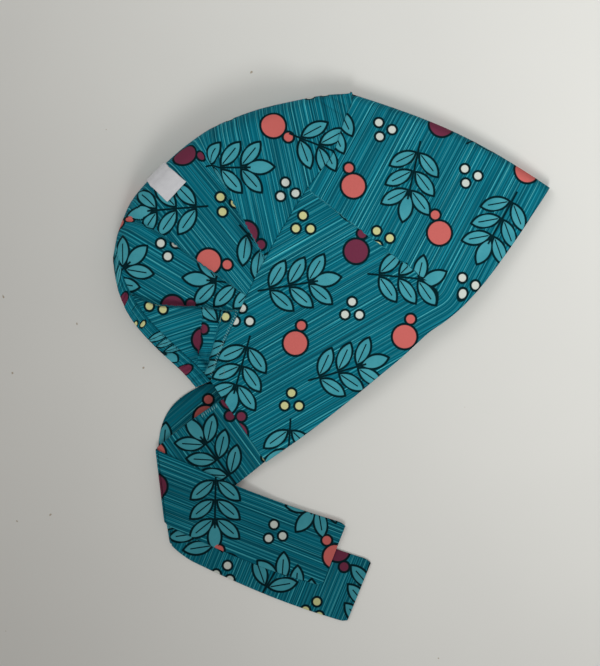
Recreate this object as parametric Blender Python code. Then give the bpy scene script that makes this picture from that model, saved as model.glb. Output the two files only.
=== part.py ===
"""Surgical scrub cap of printed cotton, lying flat-folded on its side.

The cap is drawn as it lies: "back" runs from the forehead fold towards the nape,
"up" runs from the brim towards the crown, and z is the height above the surface.
Each piece is a closed wall of cloth, and the head hollow between the near and far
walls stays open at the brim and the nape. Sizes are in metres.
"""

import math

import bmesh
import bpy
from mathutils import Vector

# Cloth
CLOTH = 0.0012            # thickness of a wall of folded cloth
SEAM_GAP = 0.0003         # clearance between two pieces that are sewn edge to edge
LAY_GAP = 0.0003          # clearance between cloth that lies on cloth

# Outline of the folded cap
HALF_BRIM = 0.245         # brim edge from the forehead fold to the tie seam
BRIM_BOW = 0.015          # how far the brim edge bows below its chord
APEX_UP = 0.127           # top of the forehead fold, where the crown seam starts
APEX_BACK = 0.048         # how far that point stands behind the forehead corner
FOREHEAD_BOW = 0.0062     # how far the forehead fold bows forward
SEAM_END_BACK = 0.234     # lower end of the crown seam, at the tie seam
SEAM_END_UP = 0.060
CROWN_UP = 0.175          # top of the gathered back crown
NAPE_BACK = 0.222         # where the centre-back seam meets the nape hem
NAPE_DROP = 0.0163        # how far that point lies below the crown's top
NAPE_BOW = 0.0118         # how far the nape hem bows backwards
CASING_WIDTH = 0.010      # elastic casing along the nape hem
CASING_RISE = 0.0035      # how far the casing's lower end slants up from the crown seam

# Heights above the surface
BRIM_LOFT = 0.014         # near wall over the middle of the brim
PANEL_LOFT = 0.021        # near wall over the middle of the front panel
SEAM_LOFT = 0.029         # near wall along the crown seam
CROWN_LOFT = 0.037        # near wall over the fullest part of the back crown
FOLD_ROUND = 0.007        # how far the forehead fold rounds inwards
FOLD_MID = 0.42           # share of the loft at which a folded edge lies
ROUND_SHARE = 0.22        # share of the crown's depth that rounds over at its back
GATHER_DEPTH = 0.0009     # ripple where the back crown is gathered into its seam
GATHERS = 8               # ripples along the crown seam

# Ties. A fold's place is measured from the brim's end.
TIE_WIDTH = 0.0415        # across one tie
NEAR_SEAM = (0.03, 0.78)  # stretch of the tie seam that holds the near tie
NEAR_FOLD_BACK = 0.072    # outer corner of the near tie's fold
NEAR_FOLD_UP = 0.016
NEAR_TIE_PAST = 0.1048    # near tie from that corner to its cut end
NEAR_HEADINGS = (8.6, -114.4)   # degrees, before and after the fold
NEAR_BOWS = (-0.003, 0.001)     # how far the outer and inner edge bow up before the fold
FAR_SEAM = (0.34, 0.985)
FAR_FOLD_BACK = 0.0787
FAR_FOLD_UP = 0.0018
FAR_TIE_PAST = 0.1175
FAR_HEADINGS = (4.0, -112.6)
FAR_BOWS = (0.0, 0.0125)
TIE_BOW = 0.0025          # how far a tie bows outwards past its fold
TIE_DRAPE = 0.012         # distance in which a tie drops off a tie below it

# Label
LABEL_WIDTH = 0.0155      # along the centre-back seam
LABEL_DROP = 0.0177       # as seen from above, from the seam to its free edge
LABEL_AT = 0.74           # where it is caught, as a share of the centre-back seam
LABEL_THICK = 0.0008

TIP_CUT = 0.4             # how far the crown's tip is trimmed towards its first row

# Mesh density
FOLD_STEPS = 4            # rows round a quarter of a folded edge
PANEL_COLUMNS = 30
PANEL_ROWS = 9
CROWN_ROWS = 9
TIE_STEPS = 6             # rows between two stations of a tie
TIE_ACROSS = 5

# Brim edge. share: along the brim from the forehead. drop: share of BRIM_BOW.
BRIM_TABLE = [
    (0.00, 0.00), (0.07, 0.25), (0.18, 0.63), (0.29, 0.92), (0.37, 1.00), (0.43, 0.93),
    (0.48, 0.80), (0.57, 0.76), (0.66, 0.65), (0.76, 0.52), (0.88, 0.30), (1.00, 0.00)]

# Crown seam. back, up: shares of the run from the apex to the seam's lower end.
SEAM_TABLE = [
    (0.000, 1.000), (0.028, 0.925), (0.075, 0.875), (0.124, 0.803), (0.202, 0.700),
    (0.330, 0.638), (0.460, 0.549), (0.609, 0.430), (0.743, 0.297), (0.899, 0.130), (1.000, 0.000)]

# Centre-back seam. back: share of the run to the nape. up: share of the rise to the crown's top.
BACK_TABLE = [
    (0.000, 0.000), (0.082, 0.250), (0.197, 0.508), (0.321, 0.740), (0.441, 0.905),
    (0.540, 0.970), (0.640, 0.996), (0.736, 0.996), (0.822, 0.965), (0.880, 0.900),
    (0.947, 0.790), (1.000, 0.662)]

# Nape hem. share: along the chord from the centre back to the ties. bow: share of NAPE_BOW.
NAPE_TABLE = [
    (0.00, 0.00), (0.06, 0.32), (0.24, 0.90), (0.42, 1.00), (0.63, 0.72), (0.87, 0.20), (1.00, 0.00)]

# Height of the near wall of the front panel. share: from the forehead fold to the tie seam.
# brim, middle, seam: shares of BRIM_LOFT, PANEL_LOFT and SEAM_LOFT.
PANEL_HEIGHTS = [
    (0.00, 0.62, 0.52, 0.38), (0.15, 0.80, 0.76, 0.70), (0.40, 1.00, 1.00, 1.00),
    (0.65, 0.92, 0.93, 0.96), (0.85, 0.66, 0.72, 0.78), (1.00, 0.44, 0.50, 0.50)]

# Height of the back crown. share: from the apex to the nape. loft: share of CROWN_LOFT.
CROWN_HEIGHTS = [
    (0.00, 0.30), (0.15, 0.52), (0.35, 0.86), (0.60, 1.00), (0.82, 0.90), (1.00, 0.52)]

# Folds and tucks of the near wall. back, up: ends of the fold, as shares of HALF_BRIM and
# CROWN_UP. depth: share of CROWN_LOFT. width: share of HALF_BRIM.
FOLD_TABLE = [
    (0.790, 0.860, 0.745, 0.490, 0.090, 0.022),   # long crease across the back crown
    (0.540, 0.710, 0.645, 0.525, 0.060, 0.026),   # valley over the middle of the crown seam
    (0.340, 0.757, 0.440, 0.644, 0.055, 0.022),   # valley near the apex
    (0.905, 0.640, 0.835, 0.470, 0.160, 0.028),   # hollow under the overhanging crown
    (0.865, 0.450, 0.925, 0.350, 0.100, 0.018),   # knife pleat beside the ties
    (0.450, 0.590, 0.390, 0.050, 0.028, 0.014),   # dart of the front panel
    (0.240, 0.600, 0.130, 0.180, 0.030, 0.045),   # shallow hollow behind the forehead
    (0.700, 0.330, 0.560, 0.030, 0.035, 0.050)]   # shallow hollow above the brim


def mix(start, end, share):
    """Straight interpolation of numbers or vectors."""
    return start + (end - start) * share


def ease(share):
    """Smooth step from 0 to 1, level at both ends."""
    share = max(0.0, min(1.0, share))
    return share * share * (3.0 - 2.0 * share)


def spline(points, share):
    """Point at a share of the length of a smooth curve through the given points."""
    lengths = [0.0]
    for start, end in zip(points, points[1:]):
        lengths.append(lengths[-1] + (end - start).length)
    distance = max(0.0, min(1.0, share)) * lengths[-1]
    index = 0
    while index < len(points) - 2 and distance > lengths[index + 1]:
        index += 1
    start = points[index]
    end = points[index + 1]
    before = points[index - 1] if index > 0 else start - (end - start)
    after = points[index + 2] if index + 2 < len(points) else end + (end - start)
    part = (distance - lengths[index]) / (lengths[index + 1] - lengths[index])
    square = part * part
    cube = square * part
    return 0.5 * (2.0 * start + (end - before) * part
                  + (2.0 * before - 5.0 * start + 4.0 * end - after) * square
                  + (3.0 * start - before - 3.0 * end + after) * cube)


def column(rows, share, index):
    """Smoothly read one column of a table whose first column is the share."""
    for low, high in zip(rows, rows[1:]):
        if share <= high[0]:
            part = (share - low[0]) / (high[0] - low[0])
            return mix(low[index], high[index], ease(part) * 0.5 + part * 0.5)
    return rows[-1][index]


# Plan curves of the folded cap

APEX = Vector((APEX_BACK, APEX_UP))
SEAM_END = Vector((SEAM_END_BACK, SEAM_END_UP))
BRIM_END = Vector((HALF_BRIM, 0.0))
NAPE = Vector((NAPE_BACK, CROWN_UP - NAPE_DROP))
CASING_END = SEAM_END + Vector((CASING_WIDTH * 0.95, CASING_RISE))


def forehead_fold(share):
    """Front outline from the brim to the apex."""
    bow = FOREHEAD_BOW * math.sin(math.pi * share)
    return APEX * share - Vector((bow, 0.0))


def brim_edge(share):
    """Brim outline from the forehead to the tie seam."""
    points = [Vector((row[0] * HALF_BRIM, -row[1] * BRIM_BOW)) for row in BRIM_TABLE]
    return spline(points, share)


def tie_seam(share):
    """Back edge of the front panel from the brim to the crown seam."""
    return mix(BRIM_END, SEAM_END, share)


def crown_seam(share):
    """Seam between the front panel and the back crown, from the apex to the ties."""
    points = []
    for back, up in SEAM_TABLE:
        points.append(Vector((mix(APEX.x, SEAM_END.x, back), mix(SEAM_END.y, APEX.y, up))))
    return spline(points, share)


def centre_back(share):
    """Outline of the back crown from the apex to the nape hem."""
    points = []
    for back, up in BACK_TABLE:
        points.append(Vector((mix(APEX.x, NAPE.x, back), mix(APEX.y, CROWN_UP, up))))
    points[-1] = NAPE.copy()
    return spline(points, share)


def back_share():
    """Share of the centre-back seam that lies above the casing."""
    steps = 40
    marks = [centre_back(step / steps) for step in range(steps + 1)]
    length = sum((end - start).length for start, end in zip(marks, marks[1:]))
    return 1.0 - CASING_WIDTH / length


BACK_SHARE = back_share()


def nape_line(share, start, end):
    """Bowed line along the nape from the ties (0) to the centre back (1)."""
    points = []
    for along, bow in NAPE_TABLE:
        points.append(mix(start, end, along) + Vector((bow * NAPE_BOW, 0.0)))
    return spline(points, 1.0 - share)


def casing_seam(share):
    """Inner edge of the casing, sewn to the back crown."""
    return nape_line(share, centre_back(BACK_SHARE), SEAM_END)


def nape_hem(share):
    """Outer edge of the casing."""
    return nape_line(share, NAPE, CASING_END)


def patch(bottom, top, left, right, u, v):
    """Plan point of a patch between four outline curves."""
    sides = mix(bottom(u), top(u), v) + mix(left(v), right(v), u)
    corners = mix(mix(bottom(0.0), bottom(1.0), u), mix(top(0.0), top(1.0), u), v)
    return sides - corners


def panel_plan(u, v):
    """Front panel: u from the forehead fold to the tie seam, v from brim to crown seam."""
    return patch(brim_edge, crown_seam, forehead_fold, tie_seam, u, v)


def crown_back(share):
    """Centre-back seam down to the casing."""
    return centre_back(share * BACK_SHARE)


def crown_plan(u, v):
    """Back crown: u from the apex to the casing, v from crown seam to centre-back seam."""
    return patch(crown_seam, crown_back, lambda share: APEX, casing_seam, u, v)


def casing_plan(across, v):
    """Casing: across from its seam to the hem, v from the ties to the centre back."""
    return mix(casing_seam(v), nape_hem(v), across)


# Heights

def fold_depth(plan):
    """Depth of the folds and tucks of the near wall at a plan point."""
    depth = 0.0
    for back, up, end_back, end_up, share, width in FOLD_TABLE:
        start = Vector((back * HALF_BRIM, up * CROWN_UP))
        run = Vector((end_back * HALF_BRIM, end_up * CROWN_UP)) - start
        along = max(0.0, min(1.0, (plan - start).dot(run) / run.length_squared))
        away = (plan - start - run * along).length / (width * HALF_BRIM)
        fade = math.sin(math.pi * mix(0.18, 0.82, along))
        depth += share * CROWN_LOFT * fade * math.exp(-away * away * 2.0)
    return depth


def panel_top(u, v):
    """Height of the near wall of the front panel before its edge rounds over."""
    brim = column(PANEL_HEIGHTS, u, 1) * BRIM_LOFT
    middle = column(PANEL_HEIGHTS, u, 2) * PANEL_LOFT
    seam = column(PANEL_HEIGHTS, u, 3) * SEAM_LOFT
    return (brim * (1.0 - v) * (1.0 - 2.0 * v) + middle * 4.0 * v * (1.0 - v)
            + seam * v * (2.0 * v - 1.0))


def fold_height(v):
    """Height of the forehead fold's edge."""
    return panel_top(0.0, v) * FOLD_MID


def panel_point(side, u, turn, v):
    """Point of the panel's outer face. side is 1 near, -1 far. turn is 0 at the fold's edge."""
    plan = panel_plan(u, v)
    middle = fold_height(v)
    goal = 0.0
    if side > 0:
        goal = panel_top(u, v) - fold_depth(plan) * turn
    return Vector((plan.x, plan.y, mix(middle, goal, turn)))


def edge_height(u):
    """Height of the centre-back seam."""
    return mix(fold_height(1.0), CROWN_LOFT * column(CROWN_HEIGHTS, u, 1) * FOLD_MID, ease(u * 3.0))


def crown_top(u, v):
    """Height of the near wall of the back crown before its edge rounds over."""
    seam = panel_top(u, 1.0)
    loft = column(CROWN_HEIGHTS, u, 1) * CROWN_LOFT
    ripple = math.sin(2.0 * math.pi * GATHERS * u) * ease(v * 8.0) * (1.0 - ease(v * 1.6))
    return mix(seam, loft, ease(v / 0.6)) + GATHER_DEPTH * ripple * ease(u * 6.0)


def crown_point(side, u, fold_turn, v, turn):
    """Point of the back crown's outer face. turn is 0 at the centre-back seam."""
    plan = crown_plan(u, v)
    start = mix(fold_height(1.0), 0.0, fold_turn)
    goal = mix(start, 0.0, ease(v * 2.0))
    if side > 0:
        top = crown_top(u, v) - fold_depth(plan) * mix(fold_turn, 1.0, v)
        first = mix(fold_height(1.0), panel_top(u, 1.0) - fold_depth(plan) * fold_turn, fold_turn)
        goal = mix(first, top, ease(v * 4.0))
    return Vector((plan.x, plan.y, mix(edge_height(u), goal, turn)))


def casing_point(side, across, v, turn):
    """Point of the casing's outer face. turn is 0 at the centre back."""
    plan = casing_plan(across, v)
    edge = edge_height(1.0) * mix(1.0, 0.8, across)
    goal = 0.0
    if side > 0:
        seam = crown_point(1, 1.0, 1.0, v, 1.0).z
        goal = seam * mix(1.0, 0.85, across)
    return Vector((plan.x, plan.y, mix(edge, goal, turn)))


# Grids of points. Each is a list of rows, and all rows have the same length.

def fold_columns():
    """Shares from the forehead fold to the tie seam, with the turn of each."""
    columns = []
    for step in range(FOLD_STEPS):
        angle = 0.5 * math.pi * step / FOLD_STEPS
        columns.append((FOLD_ROUND / HALF_BRIM * (1.0 - math.cos(angle)), math.sin(angle)))
    first = FOLD_ROUND / HALF_BRIM
    for step in range(PANEL_COLUMNS + 1):
        columns.append((mix(first, 1.0, step / PANEL_COLUMNS), 1.0))
    return columns


def crown_columns():
    """Shares from the crown seam to the centre-back seam, with the turn of each."""
    columns = [(mix(0.0, 1.0 - ROUND_SHARE, step / CROWN_ROWS), 1.0) for step in range(CROWN_ROWS)]
    for step in range(FOLD_STEPS, -1, -1):
        angle = 0.5 * math.pi * step / FOLD_STEPS
        columns.append((1.0 - ROUND_SHARE * (1.0 - math.cos(angle)), math.sin(angle)))
    return columns


def normals(grid):
    """Unit normal of a grid at each of its points."""
    result = []
    for i, row in enumerate(grid):
        line = []
        for j in range(len(row)):
            along = grid[min(i + 1, len(grid) - 1)][j] - grid[max(i - 1, 0)][j]
            across = row[min(j + 1, len(row) - 1)] - row[max(j - 1, 0)]
            line.append(along.cross(across).normalized())
        result.append(line)
    return result


def share_normals(first, second):
    """Give the matching normals of two borders their common mean."""
    for (rows, i, j), (others, k, m) in zip(first, second):
        mean = (rows[i][j] + others[k][m]).normalized()
        rows[i][j] = mean
        others[k][m] = mean.copy()


def trimmed(line, start_cut, end_cut):
    """Respace a line of points so that it stops short at either end."""
    lengths = [0.0]
    for start, end in zip(line, line[1:]):
        lengths.append(lengths[-1] + (end - start).length)
    keep = lengths[-1] - start_cut - end_cut
    result = []
    index = 0
    for length in lengths:
        goal = start_cut + length / lengths[-1] * keep
        while index < len(line) - 2 and lengths[index + 1] < goal:
            index += 1
        part = (goal - lengths[index]) / (lengths[index + 1] - lengths[index])
        result.append(mix(line[index], line[index + 1], part))
    return result


def pull_in(grid, left=0, right=0, last=0):
    """Draw borders of a grid back by so many halves of the seam gap."""
    cut = SEAM_GAP / 2.0
    rows = [trimmed(row, cut * left, cut * right) for row in grid]
    if last:
        lines = [trimmed(line, 0.0, cut * last) for line in zip(*rows)]
        rows = [list(row) for row in zip(*lines)]
    return rows


def clear_of_apex(grid):
    """Move the crown's narrow tip a little away from the panel's seam."""
    seam = crown_seam(0.05) - APEX
    away = Vector((-seam.y, seam.x, 0.0)).normalized() * SEAM_GAP * 2.0
    reach = (CROWN_UP - APEX_UP) * 0.5
    result = []
    for row in grid:
        result.append([point + away * (1.0 - ease((point.xy - APEX).length / reach)) for point in row])
    return result


def wall(name, outer, inner, finish, tip=False):
    """Closed wall of cloth between two matching grids of points."""
    rows = len(outer)
    columns = len(outer[0])
    mesh = bmesh.new()
    bmesh.ops.create_grid(mesh, x_segments=columns - 1, y_segments=rows - 1, size=1.0)
    mesh.verts.ensure_lookup_table()
    skin = list(mesh.verts)
    extruded = bmesh.ops.extrude_face_region(mesh, geom=list(mesh.faces))
    lining = [item for item in extruded["geom"] if isinstance(item, bmesh.types.BMVert)]
    keyed = {(round(v.co.x, 5), round(v.co.y, 5)): v for v in lining}
    pairs = [(v, keyed[(round(v.co.x, 5), round(v.co.y, 5))]) for v in skin]
    for index, (vert, copy) in enumerate(pairs):
        i, j = divmod(index, columns)
        vert.co = place(outer[i][j])
        copy.co = place(inner[i][j])
    if tip:
        bmesh.ops.remove_doubles(mesh, verts=list(mesh.verts), dist=0.00002)
    bmesh.ops.recalc_face_normals(mesh, faces=list(mesh.faces))
    if mesh.calc_volume(signed=True) < 0.0:
        bmesh.ops.reverse_faces(mesh, faces=list(mesh.faces))
    return add_object(name, mesh, finish)


def place(point):
    """From back, up and height to the model's axes, with the forehead towards +X."""
    return Vector((-point.x, point.y, point.z))


def add_object(name, mesh, finish):
    """Make an object of a bmesh, smooth, with its material."""
    data = bpy.data.meshes.new(name)
    mesh.to_mesh(data)
    mesh.free()
    data.shade_smooth()
    data.set_sharp_from_angle(angle=math.radians(40.0))
    data.materials.append(finish)
    item = bpy.data.objects.new(name, data)
    collection.objects.link(item)
    return item


def material(name, colour, roughness):
    """Principled material of dyed cloth."""
    finish = bpy.data.materials.new(name)
    finish.use_nodes = True
    shader = finish.node_tree.nodes["Principled BSDF"]
    shader.inputs["Base Color"].default_value = (*colour, 1.0)
    shader.inputs["Roughness"].default_value = roughness
    shader.inputs["Metallic"].default_value = 0.0
    finish.diffuse_color = (*colour, 1.0)
    return finish


# Cap

def offset(grid, directions, distance):
    """Grid moved along its normals."""
    result = []
    for row, line in zip(grid, directions):
        result.append([point + normal * distance for point, normal in zip(row, line)])
    return result


def build_cap():
    """Front panel, both halves of the back crown and the nape casing."""
    us = fold_columns()
    vs = crown_columns()
    heights = [row / PANEL_ROWS for row in range(PANEL_ROWS + 1)]

    around = [(1, u, turn) for u, turn in reversed(us)] + [(-1, u, turn) for u, turn in us[1:]]
    panel = [[panel_point(side, u, turn, v) for v in heights] for side, u, turn in around]

    crown = {}
    for side in (1, -1):
        crown[side] = [[crown_point(side, u, fold, v, turn) for v, turn in vs] for u, fold in us]

    strip = [(1, v, turn) for v, turn in vs] + [(-1, v, turn) for v, turn in reversed(vs[:-1])]
    casing = [[casing_point(side, across, v, turn) for across in (0.0, 0.34, 0.67, 1.0)]
              for side, v, turn in strip]
    for (side, v, turn), row in zip(strip, casing):
        row[0] = crown[side][-1][[entry[0] for entry in vs].index(v)].copy()

    panel_n = turned(normals(panel), 3, 3, 1)
    crown_n = {side: turned(normals(crown[side]), len(us) // 2, 3, side) for side in (1, -1)}
    casing_n = turned(normals(casing), 3, 1, 1)

    last = len(us) - 1
    for side in (1, -1):
        border = [(panel_n, last - side * i, PANEL_ROWS) for i in range(1, last + 1)]
        share_normals(border, [(crown_n[side], i, 0) for i in range(1, last + 1)])
        middle = len(vs) - 1
        border = [(casing_n, middle - side * (middle - j), 0) for j in range(middle)]
        share_normals(border, [(crown_n[side], last, j) for j in range(middle)])
    edge = len(vs) - 1
    share_normals([(crown_n[1], i, edge) for i in range(1, last + 1)],
                  [(crown_n[-1], i, edge) for i in range(1, last + 1)])
    casing_n[edge][0] = crown_n[1][last][edge].copy()
    tip = panel_n[last][PANEL_ROWS]
    for side in (1, -1):
        crown_n[side][0] = [tip.copy() for _ in vs]

    panel_lining = offset(panel, panel_n, -CLOTH)
    wall("front_panel", pull_in(panel, right=1), pull_in(panel_lining, right=1), cotton)
    casing_lining = offset(casing, casing_n, -CLOTH)
    wall("nape_casing", pull_in(casing, left=3), pull_in(casing_lining, left=3), cotton)
    for side, name in ((1, "crown_near"), (-1, "crown_far")):
        skins = []
        for skin in (crown[side], offset(crown[side], crown_n[side], -CLOTH)):
            body = pull_in(skin[1:], left=1, right=1, last=1)
            start = mix(skin[0][0], body[0][len(vs) // 2], TIP_CUT)
            skins.append(clear_of_apex([[start.copy() for _ in vs]] + body))
        wall(name, skins[0], skins[1], cotton, tip=True)


def turned(directions, i, j, sign):
    """Normals of a grid, turned so that the one at i, j points up (1) or down (-1)."""
    if directions[i][j].z * sign > 0.0:
        return directions
    return [[-normal for normal in row] for row in directions]


# Ties

def heading(degrees):
    """Unit vector in plan."""
    return Vector((math.cos(math.radians(degrees)), math.sin(math.radians(degrees))))


def across_tie(degrees):
    """Unit vector from a tie's outer edge to its inner edge."""
    return heading(degrees + 90.0)


def tie_stations(seam, fold_back, fold_up, headings, past):
    """Outer and inner edge points of a tie at its seam, its fold and its cut end."""
    lead = (BRIM_END - SEAM_END).normalized()
    clear = Vector((-lead.y, lead.x)) * SEAM_GAP
    start = (tie_seam(seam[0]) + clear, tie_seam(seam[1]) + clear)
    corner = BRIM_END + Vector((fold_back, fold_up))
    half_turn = math.radians(headings[0] - headings[1]) / 2.0
    crease = heading((headings[0] + headings[1]) / 2.0) * TIE_WIDTH / math.sin(half_turn)
    run = heading(headings[1])
    fold = (corner, corner - crease)
    end = (corner + run * past, corner + run * past - across_tie(headings[1]) * TIE_WIDTH)
    return start, fold, end


def edge_line(start, end, across, share, bows):
    """Plan point of a tie's run at a share of its length, with bowed edges."""
    outer = mix(start[0], end[0], share)
    inner = mix(start[1], end[1], share)
    side = Vector((0.0, 1.0)) if bows[0] != bows[1] else (end[0] - end[1]).normalized()
    lift = math.sin(math.pi * share) * mix(bows[0], bows[1], across)
    return mix(outer, inner, across) + side * lift


def build_tie(name, stations, bows, first_height, second_height):
    """A flat tie: from its seam to a fold, then back over itself to its cut end."""
    start, fold, end = stations
    crease = (fold[1] - fold[0]).normalized()
    beyond = Vector((crease.y, -crease.x))
    if beyond.dot(fold[0] - BRIM_END) < 0.0:
        beyond.negate()
    shares = [step / TIE_ACROSS for step in range(TIE_ACROSS + 1)]
    skin = []
    lining = []
    for step in range(TIE_STEPS):
        line = [edge_line(start, fold, across, step / TIE_STEPS, bows) for across in shares]
        skin.append([Vector((*point, first_height(point))) for point in line])
        lining.append([Vector((*point, first_height(point) + CLOTH)) for point in line])
    gap = LAY_GAP / 2.0
    for step in range(FOLD_STEPS + 1):
        angle = math.pi * (step / FOLD_STEPS - 0.5)
        for rows, radius in ((skin, CLOTH + gap), (lining, gap)):
            line = []
            for across in shares:
                point = mix(fold[0], fold[1], across)
                moved = point + beyond * (math.cos(angle) * radius - CLOTH)
                height = first_height(point) + CLOTH + gap + math.sin(angle) * radius
                line.append(Vector((*moved, height)))
            rows.append(line)
    bow = (TIE_BOW, TIE_BOW)
    for step in range(1, TIE_STEPS * 2 + 1):
        line = [edge_line(fold, end, across, step / TIE_STEPS / 2.0, bow) for across in shares]
        lining.append([Vector((*point, second_height(point))) for point in line])
        skin.append([Vector((*point, second_height(point) + CLOTH)) for point in line])
    wall(name, skin, lining, cotton)


def below(point, stations):
    """How far a plan point lies past the outer edge of a tie's first run."""
    start = stations[0][0]
    run = stations[1][0] - start
    return (run.y * (point.x - start.x) - run.x * (point.y - start.y)) / run.length


NEAR_TIE = tie_stations(NEAR_SEAM, NEAR_FOLD_BACK, NEAR_FOLD_UP, NEAR_HEADINGS, NEAR_TIE_PAST)
FAR_TIE = tie_stations(FAR_SEAM, FAR_FOLD_BACK, FAR_FOLD_UP, FAR_HEADINGS, FAR_TIE_PAST)
LAYER = CLOTH + LAY_GAP


def near_first(point):
    """Underside of the near tie's first run."""
    share = (point.x - SEAM_END.x) / (NEAR_FOLD_BACK * 0.6)
    along_seam = max(0.0, min(1.0, point.y / SEAM_END_UP))
    start = panel_top(1.0, along_seam) - fold_depth(tie_seam(along_seam)) - CLOTH
    return mix(start, 2.0 * LAYER, ease(share))


def near_second(point):
    """Underside of the near tie's second run."""
    past = below(point, NEAR_TIE) + NEAR_BOWS[0] - SEAM_GAP
    return mix(3.0 * LAYER, LAYER, ease(past / (TIE_DRAPE * 2.1)))


def far_first(point):
    """Underside of the far tie's first run, flat on the surface."""
    return 0.0


def far_second(point):
    """Underside of the far tie's second run."""
    past = below(point, FAR_TIE) - SEAM_GAP
    return mix(LAYER, 0.0, ease(past / TIE_DRAPE))


def build_ties():
    """Near tie and far tie, each sewn to one end of the brim."""
    build_tie("tie_near", NEAR_TIE, NEAR_BOWS, near_first, near_second)
    build_tie("tie_far", FAR_TIE, FAR_BOWS, far_first, far_second)


# Label

def build_label():
    """Blank label, caught in the centre-back seam and lying on the near crown."""
    step = 0.01
    along = (crown_plan(LABEL_AT + step, 1.0) - crown_plan(LABEL_AT - step, 1.0)) / (2.0 * step)
    inwards = (crown_plan(LABEL_AT, 1.0 - ROUND_SHARE) - crown_plan(LABEL_AT, 1.0)) / ROUND_SHARE
    slant = -inwards.dot(along) / along.length_squared
    depth = LABEL_DROP / (inwards + along * slant).length
    half = LABEL_WIDTH / along.length / 2.0
    steps = 7
    grid = []
    for i in range(steps + 1):
        row = []
        for j in range(steps + 2):
            inset = mix(depth * 0.03, depth, j / (steps + 1))
            u = mix(LABEL_AT - half, LABEL_AT + half, i / steps) + slant * inset
            share = min(1.0, inset / ROUND_SHARE)
            row.append(crown_point(1, u, 1.0, 1.0 - inset, math.sqrt(1.0 - (1.0 - share) ** 2)))
        grid.append(row)
    directions = turned(normals(grid), steps // 2, steps, 1)
    inner = offset(grid, directions, LAY_GAP * 1.6)
    outer = offset(inner, directions, LABEL_THICK)
    wall("label", outer, inner, ribbon)


def centre_on_origin():
    """Move the cap so that its box stands centred on the origin."""
    corners = [vert.co for item in collection.objects for vert in item.data.vertices]
    low = Vector([min(corner[axis] for corner in corners) for axis in range(3)])
    high = Vector([max(corner[axis] for corner in corners) for axis in range(3)])
    shift = Vector((-(low.x + high.x) / 2.0, -(low.y + high.y) / 2.0, -low.z))
    for item in collection.objects:
        item.location = shift


for leftover in list(bpy.data.objects):
    bpy.data.objects.remove(leftover, do_unlink=True)

collection = bpy.data.collections.new("surgical_scrub_cap")
bpy.context.scene.collection.children.link(collection)
cotton = material("teal_cotton", (0.012, 0.235, 0.265), 0.85)
ribbon = material("white_ribbon", (0.80, 0.80, 0.78), 0.6)
build_cap()
build_ties()
build_label()
centre_on_origin()
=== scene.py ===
# %% [markdown]
# # A surgical scrub cap, lying folded on its side
#
# The real cap is sewn from thin printed cotton. One front panel runs round the forehead,
# two gathered halves make the crown, elastic draws in the nape, and two flat ties are sewn
# to the ends of the brim. It lies folded along the middle of the forehead on a pale table.
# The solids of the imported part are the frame. This script lays finer cloth over them.

# %% Load the frame
import math

import bmesh
import bpy
import numpy as np
from mathutils import Matrix, Vector


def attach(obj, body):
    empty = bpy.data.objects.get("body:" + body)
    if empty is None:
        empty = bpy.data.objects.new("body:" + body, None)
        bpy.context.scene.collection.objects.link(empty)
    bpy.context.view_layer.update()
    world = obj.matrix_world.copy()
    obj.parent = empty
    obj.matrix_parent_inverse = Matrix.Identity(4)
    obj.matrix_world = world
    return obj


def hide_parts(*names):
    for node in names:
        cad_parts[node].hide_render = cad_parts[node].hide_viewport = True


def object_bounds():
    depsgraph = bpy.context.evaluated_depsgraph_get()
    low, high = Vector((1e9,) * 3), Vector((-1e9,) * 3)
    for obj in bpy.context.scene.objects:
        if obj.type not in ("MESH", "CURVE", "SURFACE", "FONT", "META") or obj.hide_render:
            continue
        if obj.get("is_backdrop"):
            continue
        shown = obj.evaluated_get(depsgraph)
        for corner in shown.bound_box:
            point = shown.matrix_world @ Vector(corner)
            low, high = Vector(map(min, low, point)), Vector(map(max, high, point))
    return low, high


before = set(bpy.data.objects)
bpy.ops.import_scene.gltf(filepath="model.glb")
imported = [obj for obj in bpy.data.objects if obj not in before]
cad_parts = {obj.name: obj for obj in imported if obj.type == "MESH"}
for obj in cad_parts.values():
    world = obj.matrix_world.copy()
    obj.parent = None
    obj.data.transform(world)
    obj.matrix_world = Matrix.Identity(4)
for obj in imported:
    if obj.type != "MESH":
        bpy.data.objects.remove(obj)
cad_box = [list(corner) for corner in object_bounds()]
print("nodes:", sorted(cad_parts))
print("CAD box in mm:", [[round(x * 1000, 1) for x in corner] for corner in cad_box])

# %% [markdown]
# ## Camera
#
# The photograph was taken from straight above, with the cap turned on the table. The camera
# hangs 0.95 m over it and looks down. Only its turn about the vertical sets the cap's slant.

# %% Camera
CAMERA_HEIGHT = 0.95
VIEW_CENTRE = (-0.0122, 0.0084)
VIEW_TURN = math.radians(-44.07)
VIEW_LENS = 82.4


def add_object(name, data):
    """A new object in the scene around its camera, light or mesh."""
    item = bpy.data.objects.new(name, data)
    bpy.context.scene.collection.objects.link(item)
    return item


lens = bpy.data.cameras.new("overhead_camera")
lens.lens = VIEW_LENS
camera = add_object("overhead_camera", lens)
camera.location = (*VIEW_CENTRE, CAMERA_HEIGHT)
camera.rotation_euler = (0.0, 0.0, VIEW_TURN)
bpy.context.scene.camera = camera
image_right = Vector((math.cos(VIEW_TURN), math.sin(VIEW_TURN), 0.0))
image_up = Vector((-math.sin(VIEW_TURN), math.cos(VIEW_TURN), 0.0))
print("camera at", tuple(round(x, 3) for x in camera.location))

# %% [markdown]
# ## Lights
#
# The light in the photograph comes softly from the lower right, and the table is a little
# brighter towards the upper right. The window lamp throws the soft shadow on the cap's upper
# left side. Two weaker lamps and a dim, warm sky fill the rest. All three lamps have a narrow
# spread and aim past the cap to the upper right, so the table falls off towards the lower left.

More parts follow.
